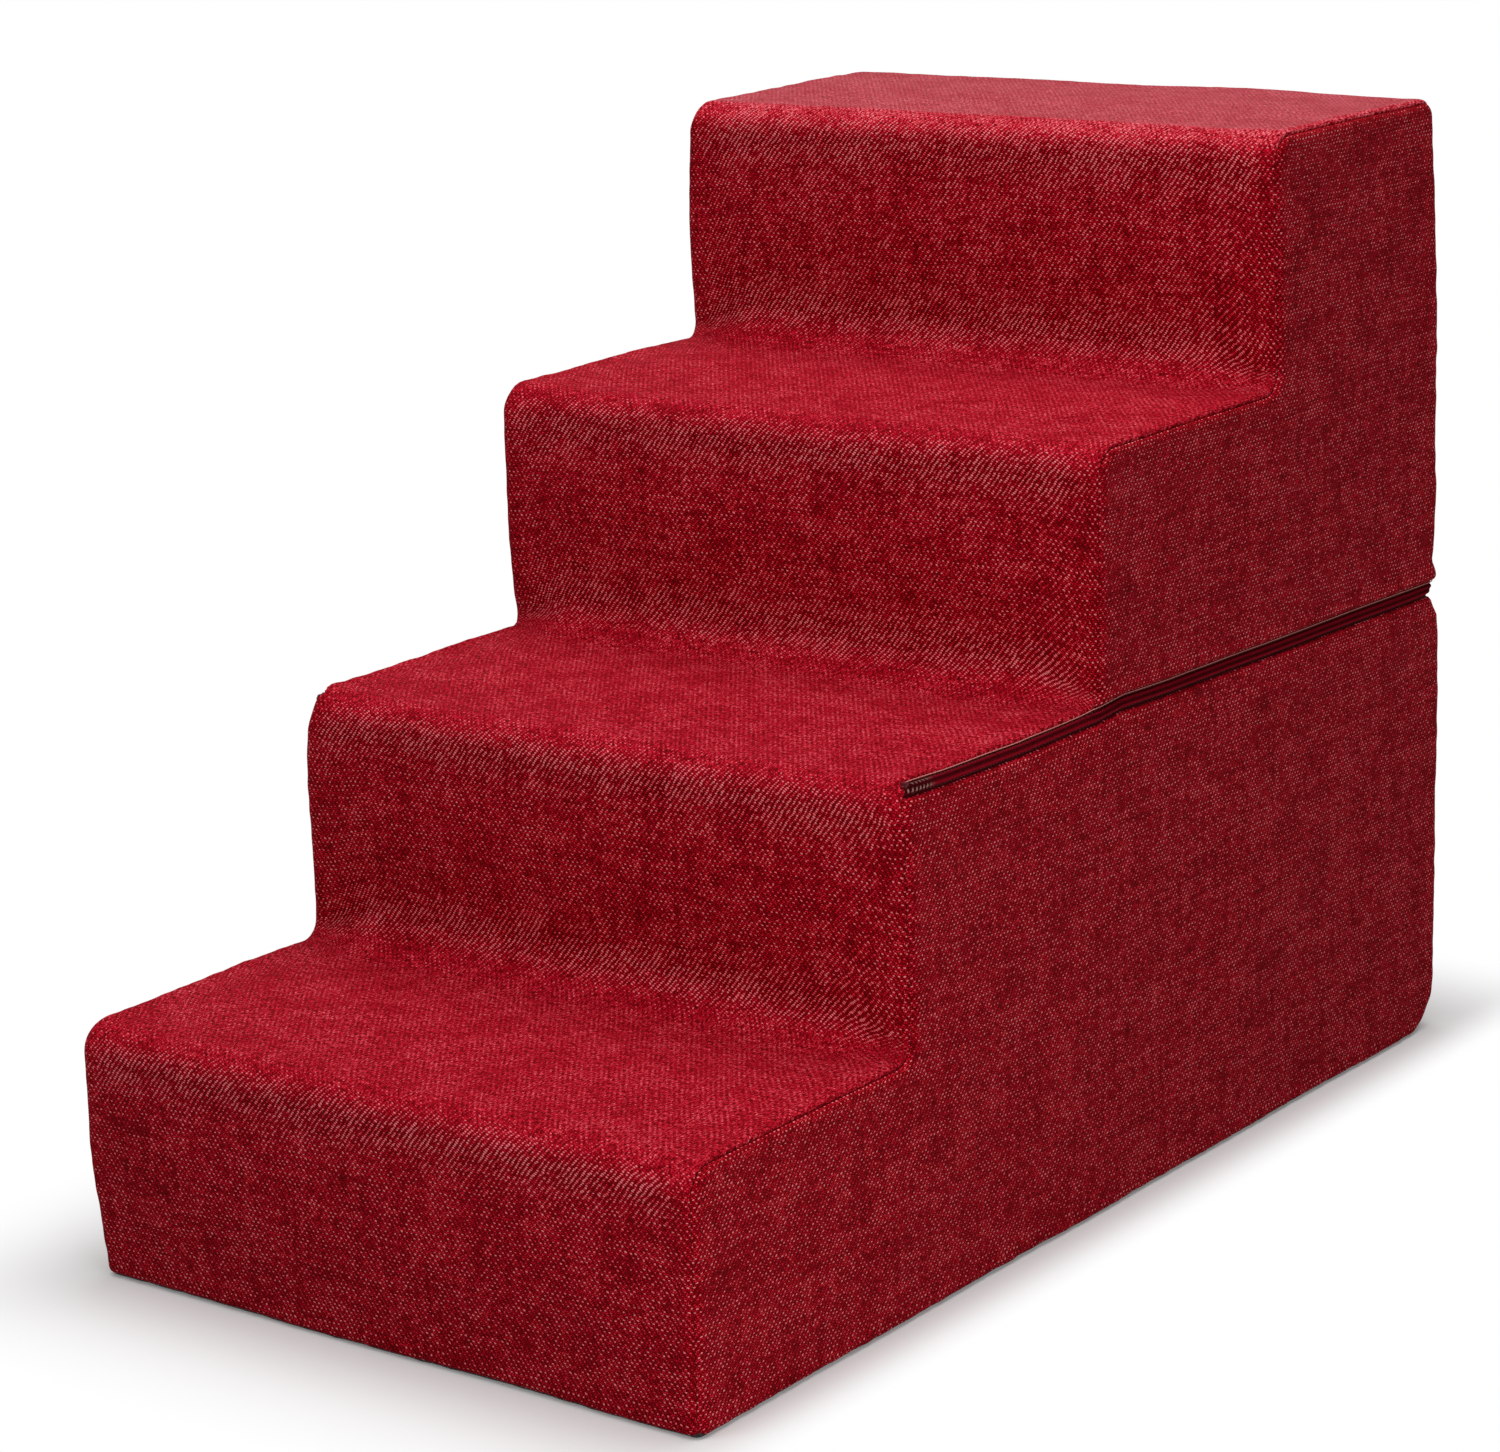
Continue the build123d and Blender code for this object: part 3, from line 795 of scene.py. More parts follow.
def sunk_slider(x, y, z):
    """The slider and its pull sit low on the chain of the left side, and are slim."""
    return (SLIDER_PIVOT_X + SLIDER_INWARD + (x - SLIDER_PIVOT_X) * SLIDER_SLIM, y + SLIDER_BACKWARD,
            ZIP_Z + LEFT_SAG + (z - ZIP_Z) * SLIDER_SLIM)


def sunk_stops(x, y, z):
    """The end stops are clamped on the chain just inside the cloth's tip."""
    drop = np.where(x < 0, LEFT_SAG, np.interp(ZIP_TIP_Y, SAG_PLACES, SAG_DROPS))
    return x - np.sign(x) * STOP_INWARD, y + STOP_BACKWARD, z + drop


# Metal pieces: name, solid, body and how the points are shifted
METAL_PARTS = (("slider_body", "zip_slider", "zip_slider", sunk_slider),
               ("slider_pull", "zip_pull_tab", "zip_pull", sunk_slider),
               ("chain_end_stops", "zip_end_stops", "lower", sunk_stops))


# Foam cores and linings
FOAM_INSET = 4.6 * MM
FOAM_PARTING_GAP = 2 * MM
FOAM_OVERHANG = 14 * MM
FOAM_RING_STEP = 9 * MM
FOAM_NET_STEP = 14 * MM
FOAM_NET_MARGIN = 6 * MM
FOAM_ROUNDS = 5
FOAM_COLUMNS = 25
WELD_REACH = 0.02 * MM
LINING_GAP = 0.35 * MM
PARTING = 280.5 * MM
LINING_EDGE = 3.4 * MM
LOWER_FLAP_EDGE = 4.0 * MM
UPPER_FLAP_EDGE = 7.2 * MM
LINING_ROLL = 2.5 * MM
LINING_RISE = 3.0 * MM
LINING_TURN = 6 * MM
LINING_THICKNESS = 0.4 * MM
LINING_START = 1 * MM
LINING_WAVE_SHARE = 0.4
LINING_ROWS = 66
LINING_COLUMNS = 46
LINING_ROLLS = 3
LINING_ROLL_COLUMNS = 10
FLAP_DROP = 1.1 * MM


def clipped_outline(half, parting, cut_y):
    """The side outline drawn in round the foam, of the lower or the upper half, cut level at the parting."""
    place, normal = BESIDE.at(np.arange(BESIDE.count, dtype=float))
    ring = place - FOAM_INSET * normal
    kept = ring[:, 1] <= parting if half == "lower" else (ring[:, 1] > parting) & (ring[:, 0] > cut_y)
    result = []
    for index, a in enumerate(ring):
        following = (index + 1) % len(ring)
        if kept[index]:
            result.append(a)
        if kept[index] != kept[following]:
            way = ring[following] - a
            share = np.clip((parting - a[1]) / way[1], 0, 1) if abs(way[1]) > TINY else 0.5
            result.append(a + way * share)
    return np.array(result)


def pillow(name, ring, half, radius):
    """A closed cushion: an outline swept across, with rounded side edges and net-filled ends."""
    ring = resampled(closed_ring(ring), FOAM_RING_STEP)[:-1]
    angles = np.linspace(math.pi / 2, 0, FOAM_ROUNDS)
    levels = [(-(half - radius) - radius * math.sin(t), radius * (1 - math.cos(t))) for t in angles]
    levels += [(x, 0.0) for x in np.linspace(-(half - radius), half - radius, FOAM_COLUMNS)[1:-1]]
    levels += [(-x, inward) for x, inward in levels[:FOAM_ROUNDS][::-1]]
    outward = ring_normals(ring)
    vertices = [np.column_stack([np.full(len(ring), x), ring - outward * inward]) for x, inward in levels]
    faces = grid_faces(len(levels), len(ring), closed=True)
    end = vertices[0][:, 1:]
    net = ring_net(end[:, ::-1], FOAM_NET_STEP, FOAM_NET_MARGIN, FOAM_NET_STEP)[:, ::-1]
    cap_points, cap_faces = filled(np.vstack([end, net]), len(end))
    for side in (-1, 1):
        offset = sum(len(part) for part in vertices)
        vertices.append(np.column_stack([np.full(len(cap_points), side * half), cap_points]))
        faces += [[v + offset for v in face[::-side]] for face in cap_faces]
    vertices = np.vstack(vertices)
    piece = mesh_object(name, stuffed(vertices, 0 * vertices), faces)
    weld(piece.data)
    return piece


def weld(mesh):
    """Joins points that lie on each other, and turns all faces outward."""
    work = bmesh.new()
    work.from_mesh(mesh)
    bmesh.ops.remove_doubles(work, verts=work.verts, dist=WELD_REACH)
    bmesh.ops.recalc_face_normals(work, faces=work.faces)
    work.to_mesh(mesh)
    work.free()
    shade_smooth(mesh)


def lining(name, front, level, rise, flap_edge):
    """A lining that covers its foam, with its sides turned over it, narrow and low at the fold."""
    y = np.linspace(front, BACK - FOAM_INSET, LINING_ROWS)
    on_block = smooth((y - (WAIST_RISER - LINING_TURN)) / LINING_TURN)[:, None]
    half = SIDE - flap_edge + (flap_edge - LINING_EDGE) * on_block
    turned = LINING_ROLL * np.linspace(0, LINING_ROLLS, LINING_ROLL_COLUMNS)[:-1]
    middle = np.linspace(-1, 1, LINING_COLUMNS)[None] * (half - LINING_ROLLS * LINING_ROLL)
    grid_x = np.hstack([turned[None] - half, middle, half - turned[None, ::-1]])
    x, y = grid_x.ravel(), np.broadcast_to(y[:, None], grid_x.shape).ravel()
    roll = rise * (1 - smooth((half - np.abs(grid_x)) / LINING_ROLL)) * (on_block if rise > 0 else 1.0)
    wave = np.clip(ripple(np.column_stack([x, y, 0 * x]), RIPPLES[1]) / LINING_GAP, -1, 1)
    height = (level + roll - FLAP_DROP * (1 - on_block)).ravel() + LINING_GAP * LINING_WAVE_SHARE * wave
    places = np.column_stack([x, y, height])
    faces = grid_faces(*grid_x.shape)
    return thicken(mesh_object(name, stuffed(places, 0 * places), faces, places[:, :2]), LINING_THICKNESS)


# Materials
# Cloth tones: dark yarn and the painted shade between floats, the red ground, and pale yarn with the painted
# highlight on float crowns
CLOTH_DARK = (0.12, 0.0, 0.001, 1)
CLOTH_MAIN = (0.80, 0.001, 0.022, 1)
CLOTH_PALE_AND_HIGHLIGHT = (1.0, 0.27, 0.28, 1)
# For up-facing cloth, a second set of the same cloth's colours, matched to the treads in the top light:
# painted light
CLOTH_MAIN_LEVEL = (0.62, 0.003, 0.022, 1)
CLOTH_PALE_AND_HIGHLIGHT_LEVEL = (1.0, 0.24, 0.29, 1)
ENDS_PITCH = 0.8 * MM
PICKS_PITCH = 1.06 * MM
TWILL_REPEAT = 4
FLOAT_LENGTH = 2
WEFT_SLUB = 18 * MM
WARP_SLUB = 20 * MM
FLOAT_POWERS = (0.6, 0.9)
WANDER_SCALES = (55.0, 330.0)
WANDER_SHARES = (2.0, 1.7)
STREAK_SCALES = ((220.0, 16.0), (16.0, 200.0))
GRAIN_SCALES = (900.0, 380.0)
NAP_TINT = (1.0, 0.34, 0.38, 1)
BASE_COLOURS = ((0.012, 0.010, 0.011, 1), (0.05, 0.04, 0.042, 1))
LINING_COLOURS = ((0.03, 0.027, 0.028, 1), (0.09, 0.08, 0.082, 1))
TAPE_COLOURS = ((0.022, 0.0, 0.0008, 1), (0.085, 0.001, 0.005, 1))
TAPE_RIDGE_HIGHLIGHT = (0.40, 0.012, 0.03, 1)
COIL_COLOURS = ((0.018, 0.0, 0.0005, 1), (0.10, 0.0003, 0.004, 1))
SEWING_COLOURS = ((0.60, 0.008, 0.03, 1), (0.85, 0.48, 0.42, 1))
PIPING_COLOURS = ((0.50, 0.09, 0.085, 1), (1.0, 0.40, 0.35, 1))
STITCH_COLOURS = ((0.12, 0.02, 0.02, 1), (0.26, 0.07, 0.06, 1))
FOAM_COLOURS = ((0.50, 0.44, 0.33, 1), (0.78, 0.72, 0.58, 1))
LACQUER_COLOURS = ((0.07, 0.001, 0.004, 1), (0.16, 0.004, 0.012, 1))
BARE_METAL = (0.30, 0.24, 0.22, 1)
BASE_PITCH = 1.2 * MM
LINING_PITCH = 0.8 * MM
TWILL_RELIEF = 0.4 * MM
WOVEN_RELIEF = 0.2 * MM
TAPE_RELIEF = 0.15 * MM
FINE_RELIEF = 0.1 * MM
FOAM_RELIEF = 0.5 * MM
METAL_WEAR = 0.2 * MM


def by_node(operation, swapped=False):
    """A method that makes a math node of a value and another value or number."""
    def method(value, other):
        pair = (other, value) if swapped else (value, other)
        return value.nodes.math(operation, *pair)
    return method


class Value:
    """What a shader node puts out. Sums and products of values make math nodes."""

    def __init__(self, nodes, socket):
        self.nodes, self.socket = nodes, socket

    __add__ = __radd__ = by_node("ADD")
    __mul__ = __rmul__ = by_node("MULTIPLY")
    __sub__, __rsub__ = by_node("SUBTRACT"), by_node("SUBTRACT", swapped=True)
    __truediv__, __mod__ = by_node("DIVIDE"), by_node("FLOORED_MODULO")


class Nodes:
    """A short way to write the shader nodes of a material or a world."""

    def __init__(self, owner):
        self.owner = owner
        owner.use_nodes = True
        self.tree = owner.node_tree
        self.tree.nodes.clear()

    def node(self, kind, inputs=None, **settings):
        """A node with its settings, and its inputs linked or set."""
        node = self.tree.nodes.new(kind)
        for key, value in settings.items():
            setattr(node, key, value)
        for key, value in (inputs or {}).items():
            if isinstance(value, Value):
                self.tree.links.new(value.socket, node.inputs[key])
            else:
                node.inputs[key].default_value = value
        return node

    def value(self, kind, output, inputs=None, **settings):
        """What a new node puts out."""
        return Value(self, self.node(kind, inputs, **settings).outputs[output])

    def math(self, operation, a, b=0.0):
        """A math node's result."""
        return self.value("ShaderNodeMath", 0, {0: a, 1: b}, operation=operation)

    def ramp(self, value, low, high, out_low=0.0, out_high=1.0):
        """A smooth step of a value between two levels."""
        inputs = {"Value": value, "From Min": low, "From Max": high, "To Min": out_low, "To Max": out_high}
        return self.value("ShaderNodeMapRange", "Result", inputs, interpolation_type="SMOOTHSTEP")

    def mix(self, share, a, b):
        """A mix of two colours."""
        return self.value("ShaderNodeMix", 2, {"Factor": share, 6: a, 7: b}, data_type="RGBA")

    def blend(self, share, a, b):
        """A mix of two numbers."""
        return self.value("ShaderNodeMix", "Result", {"Factor": share, "A": a, "B": b})

    def noise(self, vector, scale=1.0, detail=2.0, roughness=0.5):
        """A noise value at a vector."""
        inputs = {"Vector": vector, "Scale": scale, "Detail": detail, "Roughness": roughness}
        return self.value("ShaderNodeTexNoise", "Fac", inputs)

    def speck(self, *place):
        """A random value for each whole place."""
        vector = self.value("ShaderNodeCombineXYZ", 0, dict(enumerate(place)))
        return self.value("ShaderNodeTexWhiteNoise", "Value", {"Vector": vector})

    def stretched(self, vector, x, y, z=1.0):
        """A vector scaled by its own factor along each axis."""
        return self.value("ShaderNodeVectorMath", 0, {0: vector, 1: (x, y, z)}, operation="MULTIPLY")

    def parts(self, vector):
        """The three parts of a vector."""
        return [Value(self, part) for part in self.node("ShaderNodeSeparateXYZ", {0: vector}).outputs]

    def attribute(self, name):
        """A named value of the mesh's points."""
        return self.value("ShaderNodeAttribute", "Fac", attribute_name=name)

    def bump(self, height, strength, distance):
        """A normal from a height."""
        inputs = {"Height": height, "Strength": strength, "Distance": distance}
        return self.value("ShaderNodeBump", "Normal", inputs)

    def principled(self, **inputs):
        """The main shader, with the spaces in its inputs' names written as underscores."""
        inputs = {key.replace("_", " "): value for key, value in inputs.items()}
        return self.value("ShaderNodeBsdfPrincipled", "BSDF", inputs)

    def shader_mix(self, share, a, b):
        """A mix of two shaders."""
        return self.value("ShaderNodeMixShader", 0, {0: share, 1: a, 2: b})

    def surface(self, shader, kind="ShaderNodeOutputMaterial"):
        """Ends the nodes in a shader, and gives back what they belong to."""
        self.node(kind, {"Surface": shader})
        return self.owner

    def finish(self, **inputs):
        """Ends a material in the main shader."""
        return self.surface(self.principled(**inputs))


def material(name):
    """The nodes of a new material, and the place in the piece."""
    n = Nodes(bpy.data.materials.new(name))
    return n, n.value("ShaderNodeTexCoord", "Object")


def sheet_material(name):
    """The nodes of a new material, and the place on the laid-out cloth with its two parts."""
    n = Nodes(bpy.data.materials.new(name))
    uv = n.value("ShaderNodeUVMap", "UV", uv_map="cloth")
    return n, uv, *n.parts(uv)[:2]


def float_shape(n, along, across):
    """The rounded form of a float of yarn, over its length and its width from 0 to 1."""
    waves = [n.math("MAXIMUM", n.math("SINE", place * math.pi), 0.0) for place in (along, across)]
    return n.math("POWER", waves[0], FLOAT_POWERS[0]) * n.math("POWER", waves[1], FLOAT_POWERS[1])


def twill_material():
    """Heathered red twill: rounded floats on a four-end twill, brighter in every other row of weft, with
    painted highlight and shade on the floats, painted highlights at the bends and seams, and a brighter top
    tread with sheen.
    """
    n, uv, u, v = sheet_material("red_twill")
    slow, quick = (n.noise(uv, scale) - 0.5 for scale in WANDER_SCALES)
    wander = slow * WANDER_SHARES[0] + quick * WANDER_SHARES[1]
    across, along = u / ENDS_PITCH + wander, v / PICKS_PITCH - wander
    end, pick = n.math("FLOOR", across), n.math("FLOOR", along)
    end_place, pick_place = n.math("FRACT", across), n.math("FRACT", along)
    diagonal = end - pick
    place = diagonal % TWILL_REPEAT
    group = n.math("FLOOR", diagonal / TWILL_REPEAT)
    weft_up = n.math("LESS_THAN", place, FLOAT_LENGTH - 0.5)
    weft_shape = float_shape(n, (place + end_place) / FLOAT_LENGTH, pick_place)
    warp_shape = float_shape(n, (TWILL_REPEAT - 1 - place + pick_place) / FLOAT_LENGTH, end_place)
    weft_speck, warp_speck = n.speck(group, pick, 0.5), n.speck(end, group, 1.5)
    weft_yarn = n.noise(n.stretched(uv, 1 / WEFT_SLUB, 1 / PICKS_PITCH), detail=1.0)
    warp_yarn = n.noise(n.stretched(uv, 1 / ENDS_PITCH, 1 / WARP_SLUB), detail=1.0)

    # Patches and streaks in the cloth's tone, how level the cloth is, and its painted light: the top tread's
    # highlight, the evener rows and the bend highlight
    mottle = n.ramp(n.noise(uv, 34.0, 3.0, 0.62), 0.34, 0.66)
    flecks = n.ramp(n.noise(uv, 130.0, 2.0, 0.6), 0.3, 0.7)
    lengthwise, crosswise = (n.ramp(n.noise(n.stretched(uv, *scales)), 0.3, 0.7) for scales in STREAK_SCALES)
    level, top_sheen, row_light, glow = (n.attribute(key) for key in ("level", "top_sheen", "row_light", "glow"))
    shade = n.blend(level * -0.35 + 0.5, (mottle + flecks) * 0.5, (lengthwise + crosswise) * 0.5)
    # Every other weft row is darker, less so at the bends and higher up, where painted light evens them
    dull = pick % 2.0 * (1.0 - row_light)

    # The tone of each float, its yarn's random tone times its round shape, which paints a highlight on its
    # crown and shade at its ends and edges; and the grain that covers it on level cloth
    # The weft is brightened at the bends and seams: a painted highlight
    weft_level = (weft_speck * 0.95 + weft_yarn * 0.6) * (1.0 + (glow * 0.3 - dull * 0.7))
    warp_level = (warp_speck * 0.4 + warp_yarn * 0.8) * (0.3 + dull * 0.35)
    floats = n.blend(weft_up, warp_level * warp_shape, weft_level * weft_shape)
    grain = n.ramp(n.noise(n.stretched(uv, *GRAIN_SCALES), roughness=0.7), 0.36, 0.64, 0.0, 0.60)
    tone = n.blend(level * 0.6, floats, grain)
    # The top tread's tone is raised by half: a painted highlight
    tone = tone * (shade * (level * -0.5 + 1.16) + (level * 0.25 + 0.42)) * (top_sheen * 0.5 + 1.0)
    # Up-facing cloth takes its own colours: painted light on the treads
    base = n.mix(n.ramp(tone, 0.02, 0.40), CLOTH_DARK, n.mix(level, CLOTH_MAIN, CLOTH_MAIN_LEVEL))
    colour = n.mix(n.ramp(tone, 0.28, 0.95), base, n.mix(level, CLOTH_PALE_AND_HIGHLIGHT, CLOTH_PALE_AND_HIGHLIGHT_LEVEL))
    height = n.blend(weft_up, warp_shape * 0.75, weft_shape) + shade * 0.3
    facing = n.value("ShaderNodeLayerWeight", "Facing", {"Blend": 0.5})
    # The sheen from the viewing angle is full only on the top tread
    top_sheen = n.ramp(facing, 0.77, 0.84, 0.0, 0.78) * top_sheen
    nap = n.math("MAXIMUM", n.ramp(facing, 0.88, 0.98, 0.03, 0.25), top_sheen)
    return n.finish(Base_Color=colour, Roughness=0.8, Normal=n.bump(height, 0.8, TWILL_RELIEF),
                    Sheen_Weight=nap, Sheen_Roughness=0.45, Sheen_Tint=NAP_TINT, Specular_IOR_Level=0.04)


def woven_material(name, dark, light, pitch):
    """A plain weave in two tones with a fine bump."""
    n, place = material(name)
    waves = [n.math("SINE", part * (math.pi / pitch)) for part in n.parts(place)]
    weave = waves[0] * waves[1] + waves[1] * waves[2]
    fuzz = n.noise(place, 400.0, 3.0)
    colour = n.mix(n.ramp(weave * 0.3 + fuzz, 0.2, 0.85), dark, light)
    return n.finish(Base_Color=colour, Roughness=0.7, Normal=n.bump(weave + fuzz, 0.5, WOVEN_RELIEF),
                    Sheen_Weight=0.2, Specular_IOR_Level=0.3)


def tape_material():
    """Dark maroon tape with fine lengthwise ribs and one brighter line, a painted highlight on the lower
    tape.
    """
    n, uv, along, across = sheet_material("zip_tape_weave")
    ribs, slant = (n.math("SINE", place * (2 * math.pi / TAPE_RIB))
                   for place in (across, along + n.math("ABSOLUTE", across)))
    weave = ribs * 0.6 + slant * 0.4
    fuzz = n.noise(n.stretched(uv, 1, 4), 300.0)
    ground = n.mix(n.ramp(weave * 0.3 + fuzz, 0.25, 0.85), *TAPE_COLOURS)
    # A brighter line along the lower tape: a painted highlight
    line = n.ramp(n.math("ABSOLUTE", across - TAPE_LINE), TAPE_LINE_HALF, 0.0)
    colour = n.mix(line * 0.8, ground, TAPE_RIDGE_HIGHLIGHT)
    return n.finish(Base_Color=colour, Roughness=0.7, Normal=n.bump(weave, 0.5, TAPE_RELIEF),
                    Specular_IOR_Level=0.05)


def coil_material():
    """Dyed nylon coil, with the paler sewing thread over it."""
    n, place = material("zip_coil_nylon")
    line = n.mix(n.attribute("tip"), *SEWING_COLOURS)
    colour = n.mix(n.attribute("thread") * 0.85, n.mix(n.noise(place, 300.0), *COIL_COLOURS), line)
    return n.finish(Base_Color=colour, Roughness=0.65, Specular_IOR_Level=0.03)


def thread_material(name, dark, light):
    """Twisted thread in two tones."""
    n, place = material(name)
    tone = n.noise(place, 900.0)
    return n.finish(Base_Color=n.mix(tone, dark, light), Roughness=0.7, Normal=n.bump(tone, 0.4, FINE_RELIEF),
                    Specular_IOR_Level=0.06)


def foam_material():
    """Pale open-cell foam."""
    n, place = material("foam_cells")
    cells = n.value("ShaderNodeTexVoronoi", "Distance", {"Vector": place, "Scale": 700.0})
    tone = cells * 0.6 + n.noise(place, 40.0, 3.0) * 0.5
    return n.finish(Base_Color=n.mix(n.ramp(tone, 0.2, 0.9), *FOAM_COLOURS), Roughness=0.95,
                    Normal=n.bump(cells, 0.8, FOAM_RELIEF), Specular_IOR_Level=0.15)


def metal_material():
    """Metal in dark red lacquer, rubbed through in small spots."""
    n, place = material("lacquered_metal")
    scratch = n.noise(n.stretched(place, 1, 12), 260.0, 4.0, 0.7)
    wear = n.ramp(n.noise(place, 900.0, 3.0, 0.6), 0.62, 0.72)
    colour = n.mix(wear, n.mix(scratch, *LACQUER_COLOURS), BARE_METAL)
    return n.finish(Base_Color=colour, Metallic=wear, Roughness=n.ramp(scratch, 0.3, 0.7, 0.32, 0.5),
                    Normal=n.bump(scratch, 0.12, FINE_RELIEF), Specular_IOR_Level=0.3)


def dress(piece, material, body, slot, *nodes):
    """Gives a piece its material and the body it rides on, and hides the solids it stands for; the slot is
    not used.
    """
    piece.data.materials.clear()
    piece.data.materials.append(material)
    if body:
        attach(piece, body)
    if nodes:
        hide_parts(*nodes)
    return piece


def dress_cover(cloth, base_cloth):
    """Cover cloths: the step cloth rides on no body and stands for both step panels, the others ride on their
    own block.
    """
    steps = wrap_panel("steps", FRONT_SEAM, TOP_SEAM, (0, 0), step_edge_reach)
    pieces = [(steps, None, ("lower_step_panel", "upper_step_panel")),
              (wrap_panel("upper_back", TOP_SEAM, back_index(BAND_TOP), (0, 1), u_sign=-1),
               "upper", ["upper_back_panel"]),
              (wrap_panel("lower_back", back_index(BAND_FOOT), BACK_FOOT_SEAM, (1, 0), u_sign=-1),
               "lower", ["lower_back_panel"])]
    base = wrap_panel("base", BACK_FOOT_SEAM, MIDDLE.count + FRONT_SEAM, (0, 0))
    dress(base, base_cloth, "lower", "base_cloth", "bottom_panel")
    for label, side in SIDES:
        pieces += [(lower_side_panel(label, side), "lower", ["lower_side_panel_" + label]),
                   (upper_side_panel(label, side), "upper", ["upper_side_panel_" + label])]
    for piece, body, nodes in pieces:
        dress(piece, cloth, body, "cover_cloth", *nodes)
    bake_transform(steps)


def dress_zip(tape_cloth, nylon, piping, thread):
    """Tapes, chain, cord and stitches. In front of the fold the upper half stays on the lower block."""
    hidden = BAND_HALF + TAPE_HIDDEN
    below, above = (-1, -hidden, -TAPE_GAP, STITCH_PLACE), (1, TAPE_GAP, hidden, UPPER_STITCH_PLACE)
    whole, rear = (TAPE_END, ZIP_END, THREAD_END), (FOLD_PLACE,) * 3
    stretches = [("lower", "lower", "lower", -1, 1, whole, whole, below),
                 ("upper", "upper", "upper", -1, 1, rear, rear, above)]
    for label, side in SIDES:
        stretches.append(("front_" + label, "lower", "tread", side, side, rear, whole, above))
    for label, body, node, from_side, to_side, starts, ends, (half, low, high, sewn) in stretches:
        pairs = [(from_side * start, to_side * end) for start, end in zip(starts, ends)]
        tape_ends, chain_ends, sewn_ends = pairs
        piece = tape("zip_tape_" + label, *tape_ends, low, high)
        dress(piece, tape_cloth, body, "zip_tape", node + "_zip_tape")
        dress(teeth("zip_chain_" + label, *chain_ends, half), nylon, body, "zip_coil", node + "_zip_coil")
        dress(stitches("zip_stitches_" + label, *sewn_ends, sewn), thread, body, "zip_tape")
        if half > 0:
            dress(edge_cord("zip_edge_cord_" + label, *sewn_ends), piping, body, "zip_tape")


def dress_inside(foam, lining_cloth):
    """Foam cores and linings."""
    front = FOLD_Y + LINING_START
    cut_y = WAIST_RISER - FOAM_OVERHANG
    for half, way, flap_edge in (("lower", -1, LOWER_FLAP_EDGE), ("upper", 1, UPPER_FLAP_EDGE)):
        ring = clipped_outline(half, PARTING + way * FOAM_PARTING_GAP, cut_y)
        core = pillow("foam_" + half, ring, SIDE - FOAM_INSET, EDGE_RADIUS - FOAM_INSET)
        dress(core, foam, half, "foam", half + "_foam_block")
        piece = lining("lining_" + half, front, PARTING + way * LINING_GAP, way * LINING_RISE, flap_edge)
        dress(piece, lining_cloth, half, "lining", half + "_lining")


def dress_metal(metal):
    """Slider, pull and end stops, with softened edges."""
    for name, node, body, shift in METAL_PARTS:
        piece = dress(shifted_copy(name, node, shift), metal, body, "zip_metal", node)
        bevel = piece.modifiers.new("worn_edges", "BEVEL")
        bevel.width = METAL_WEAR
        bevel.segments = 2
        bevel.limit_method = "ANGLE"


# Camera and light
LENS = 105.3
FRAME_SHIFT = 0.001
SENSOR = 36.0
CAMERA_CLIP = (0.05, 60)
CAMERA_PLACE = np.array([1431.6, -1890.5, 873.5]) * MM
CAMERA_RIGHT = (0.79580, 0.60447, -0.03620)
CAMERA_DOWN = (0.12668, -0.22464, -0.96617)
CAMERA_FORWARD = (-0.59216, 0.76430, -0.25534)
WHITE = (1, 1, 1, 1)
ROOM_LIGHT = 0.21
FLOOR_REACH = 14.0
FLOOR_GREY = (0.48, 0.48, 0.48, 1)
FLOOR_WHITE = (0.95, 0.95, 0.95, 1)
SHADOW_REACH = 0.13
SHADOW_LIFT = 0.12
SHADOW_RIGHT = 3.0

# Square lights: name, place, what they look at, width and power
LIGHTS = (
    ("top_softbox", (0.2, 0.15, 2.4), (0, 0.1, 0.3), 2.0, 36),
    ("front_softbox", (-0.2, -1.1, 1.7), (0, 0.1, 0.4), 0.8, 6),
    ("side_softbox", (1.0, -0.85, 0.27), (0.2, -0.25, 0.04), 0.4, 3.0),
)


def camera():
    """The camera at the photograph's viewing angle."""
    data = bpy.data.cameras.new("camera")
    data.lens = LENS
    data.sensor_width = SENSOR
    data.sensor_fit = "HORIZONTAL"
    data.shift_x = FRAME_SHIFT
    data.clip_start, data.clip_end = CAMERA_CLIP
    eye = add_object("camera", data)
    turn = Matrix((CAMERA_RIGHT, [-v for v in CAMERA_DOWN], [-v for v in CAMERA_FORWARD])).transposed()
    eye.matrix_world = Matrix.Translation(CAMERA_PLACE.tolist()) @ turn.to_4x4()
    bpy.context.scene.camera = eye


def area_light(name, place, target, width, power):
    """A square soft light that looks at a target."""
    data = bpy.data.lights.new(name, "AREA")
    data.shape = "RECTANGLE"
    data.size = data.size_y = width
    data.energy = power
    lamp = add_object(name, data)
    lamp.location = place
    lamp.visible_camera = False
    lamp.rotation_euler = (Vector(target) - Vector(place)).to_track_quat("-Z", "Y").to_euler()


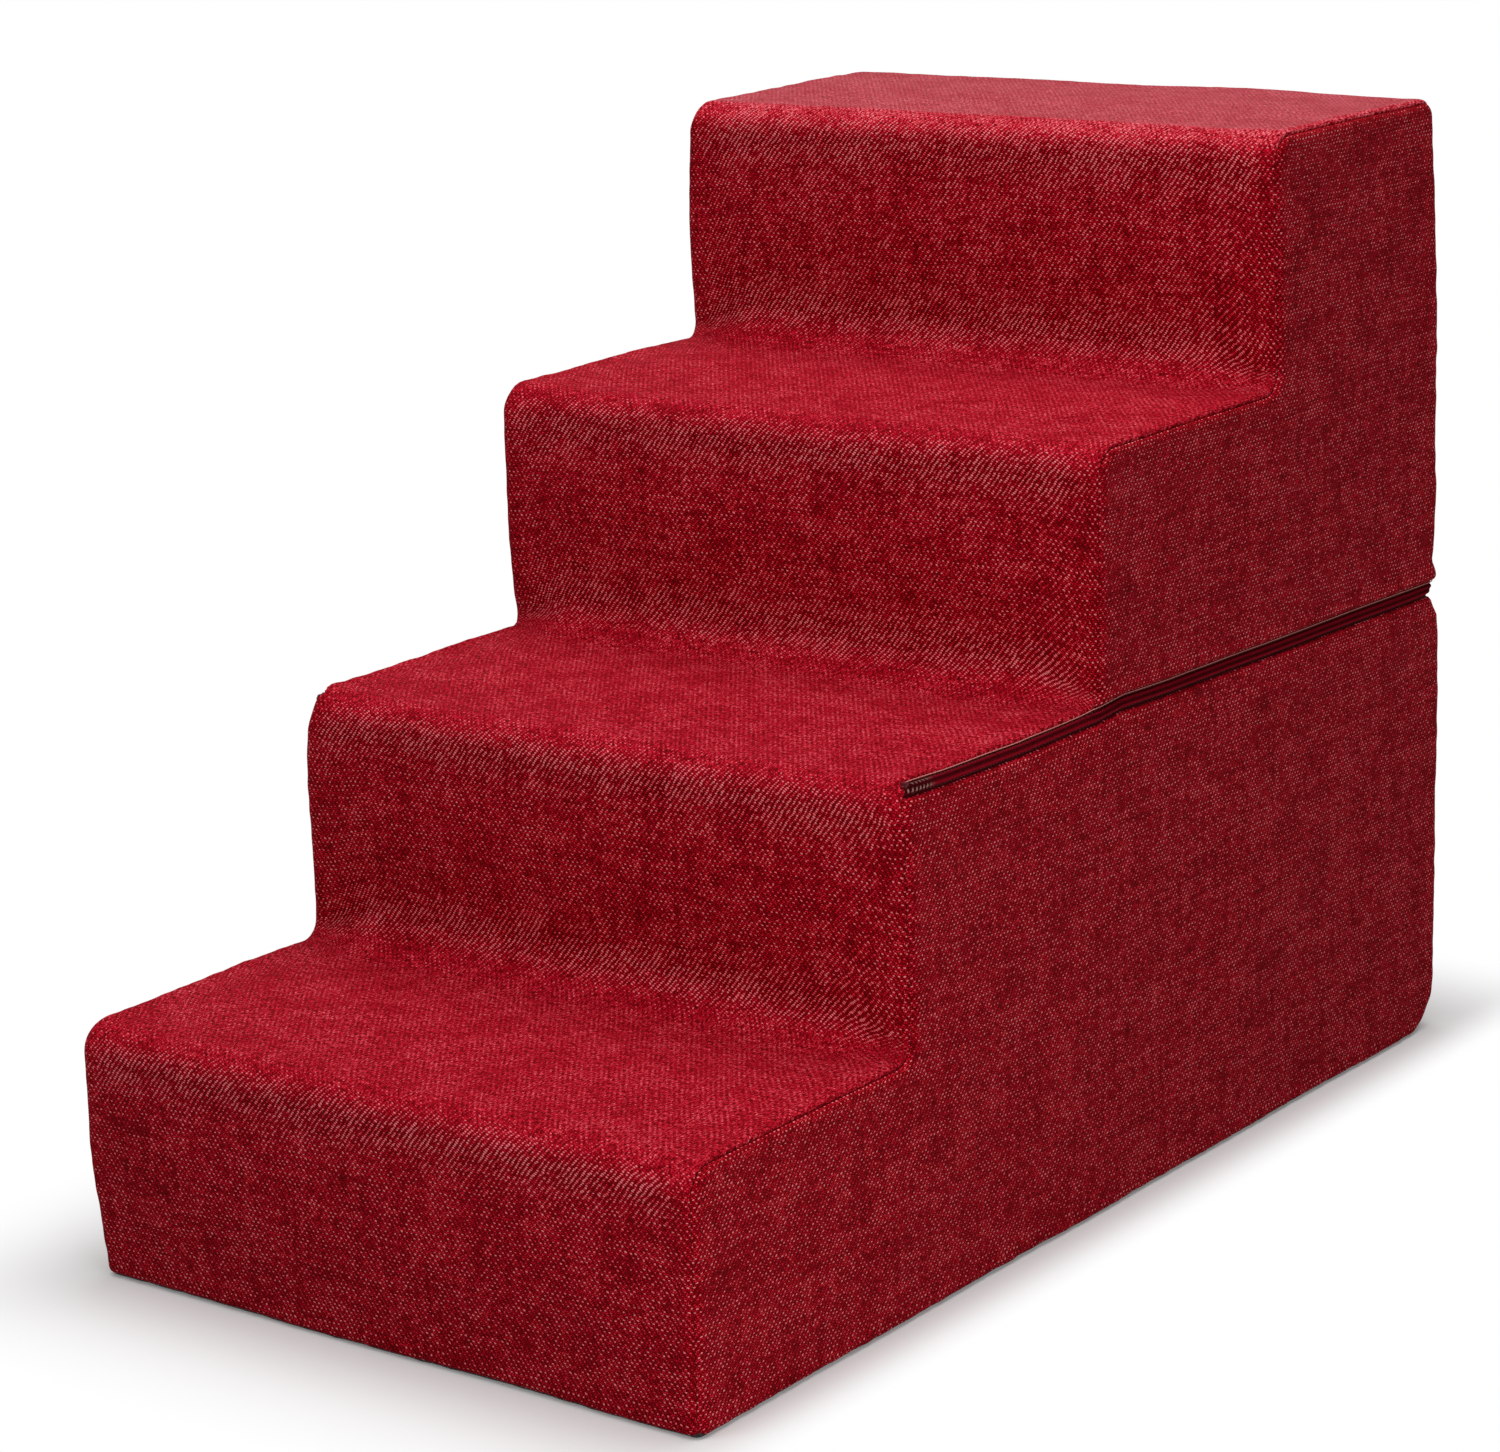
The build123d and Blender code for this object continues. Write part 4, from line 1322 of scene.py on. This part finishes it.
def world():
    """Even studio light, and plain white for the camera and for reflections."""
    n = Nodes(bpy.data.worlds.new("studio"))
    rays = n.node("ShaderNodeLightPath").outputs
    kinds = ("Camera", "Glossy", "Transmission")
    seen, mirrored, through = (Value(n, rays[f"Is {kind} Ray"]) for kind in kinds)
    shown = n.math("MAXIMUM", n.math("MAXIMUM", seen, mirrored), through)
    lit, white = (n.value("ShaderNodeBackground", 0, {"Color": WHITE, "Strength": strength})
                  for strength in (ROOM_LIGHT, 1.0))
    bpy.context.scene.world = n.surface(n.shader_mix(shown, lit, white), "ShaderNodeOutputWorld")


def floor():
    """A plain white floor that keeps the shadow near the stairs and fades to the white background."""
    corners = [(x * FLOOR_REACH, y * FLOOR_REACH, 0) for x, y in ((-1, -1), (1, -1), (1, 1), (-1, 1))]
    plane = mesh_object("floor", corners, [range(len(corners))], smooth_faces=False)
    n = Nodes(bpy.data.materials.new("floor_white"))
    seen = n.value("ShaderNodeLightPath", "Is Camera Ray")
    colour = n.mix(seen, FLOOR_GREY, FLOOR_WHITE)
    cloud = n.principled(Base_Color=colour, Roughness=0.9, Specular_IOR_Level=0.0)
    x, y, _ = n.parts(n.value("ShaderNodeNewGeometry", "Position"))
    past_side, past_end = (n.math("MAXIMUM", n.math("ABSOLUTE", part) - reach, 0.0)
                           for part, reach in ((x, SIDE), (y, BACK)))
    past_side = past_side * (n.math("GREATER_THAN", x, 0.0) * (SHADOW_RIGHT - 1) + 1.0)
    away = n.math("SQRT", n.math("POWER", past_side, 2.0) + n.math("POWER", past_end, 2.0))
    fade = n.ramp(away, 0.0, SHADOW_REACH, SHADOW_LIFT, 1.0)
    glow = n.value("ShaderNodeEmission", 0, {"Color": WHITE, "Strength": 1.0})
    plane.data.materials.append(n.surface(n.shader_mix(fade * seen, cloud, glow)))


dress_cover(twill_material(), woven_material("base_cloth", *BASE_COLOURS, BASE_PITCH))
dress_zip(tape_material(), coil_material(), thread_material("piping_thread", *PIPING_COLOURS),
          thread_material("stitch_thread", *STITCH_COLOURS))
dress_inside(foam_material(), woven_material("lining_cloth", *LINING_COLOURS, LINING_PITCH))
dress_metal(metal_material())
camera()
world()
floor()
for light in LIGHTS:
    area_light(*light)
bpy.context.scene.view_settings.view_transform = "Standard"
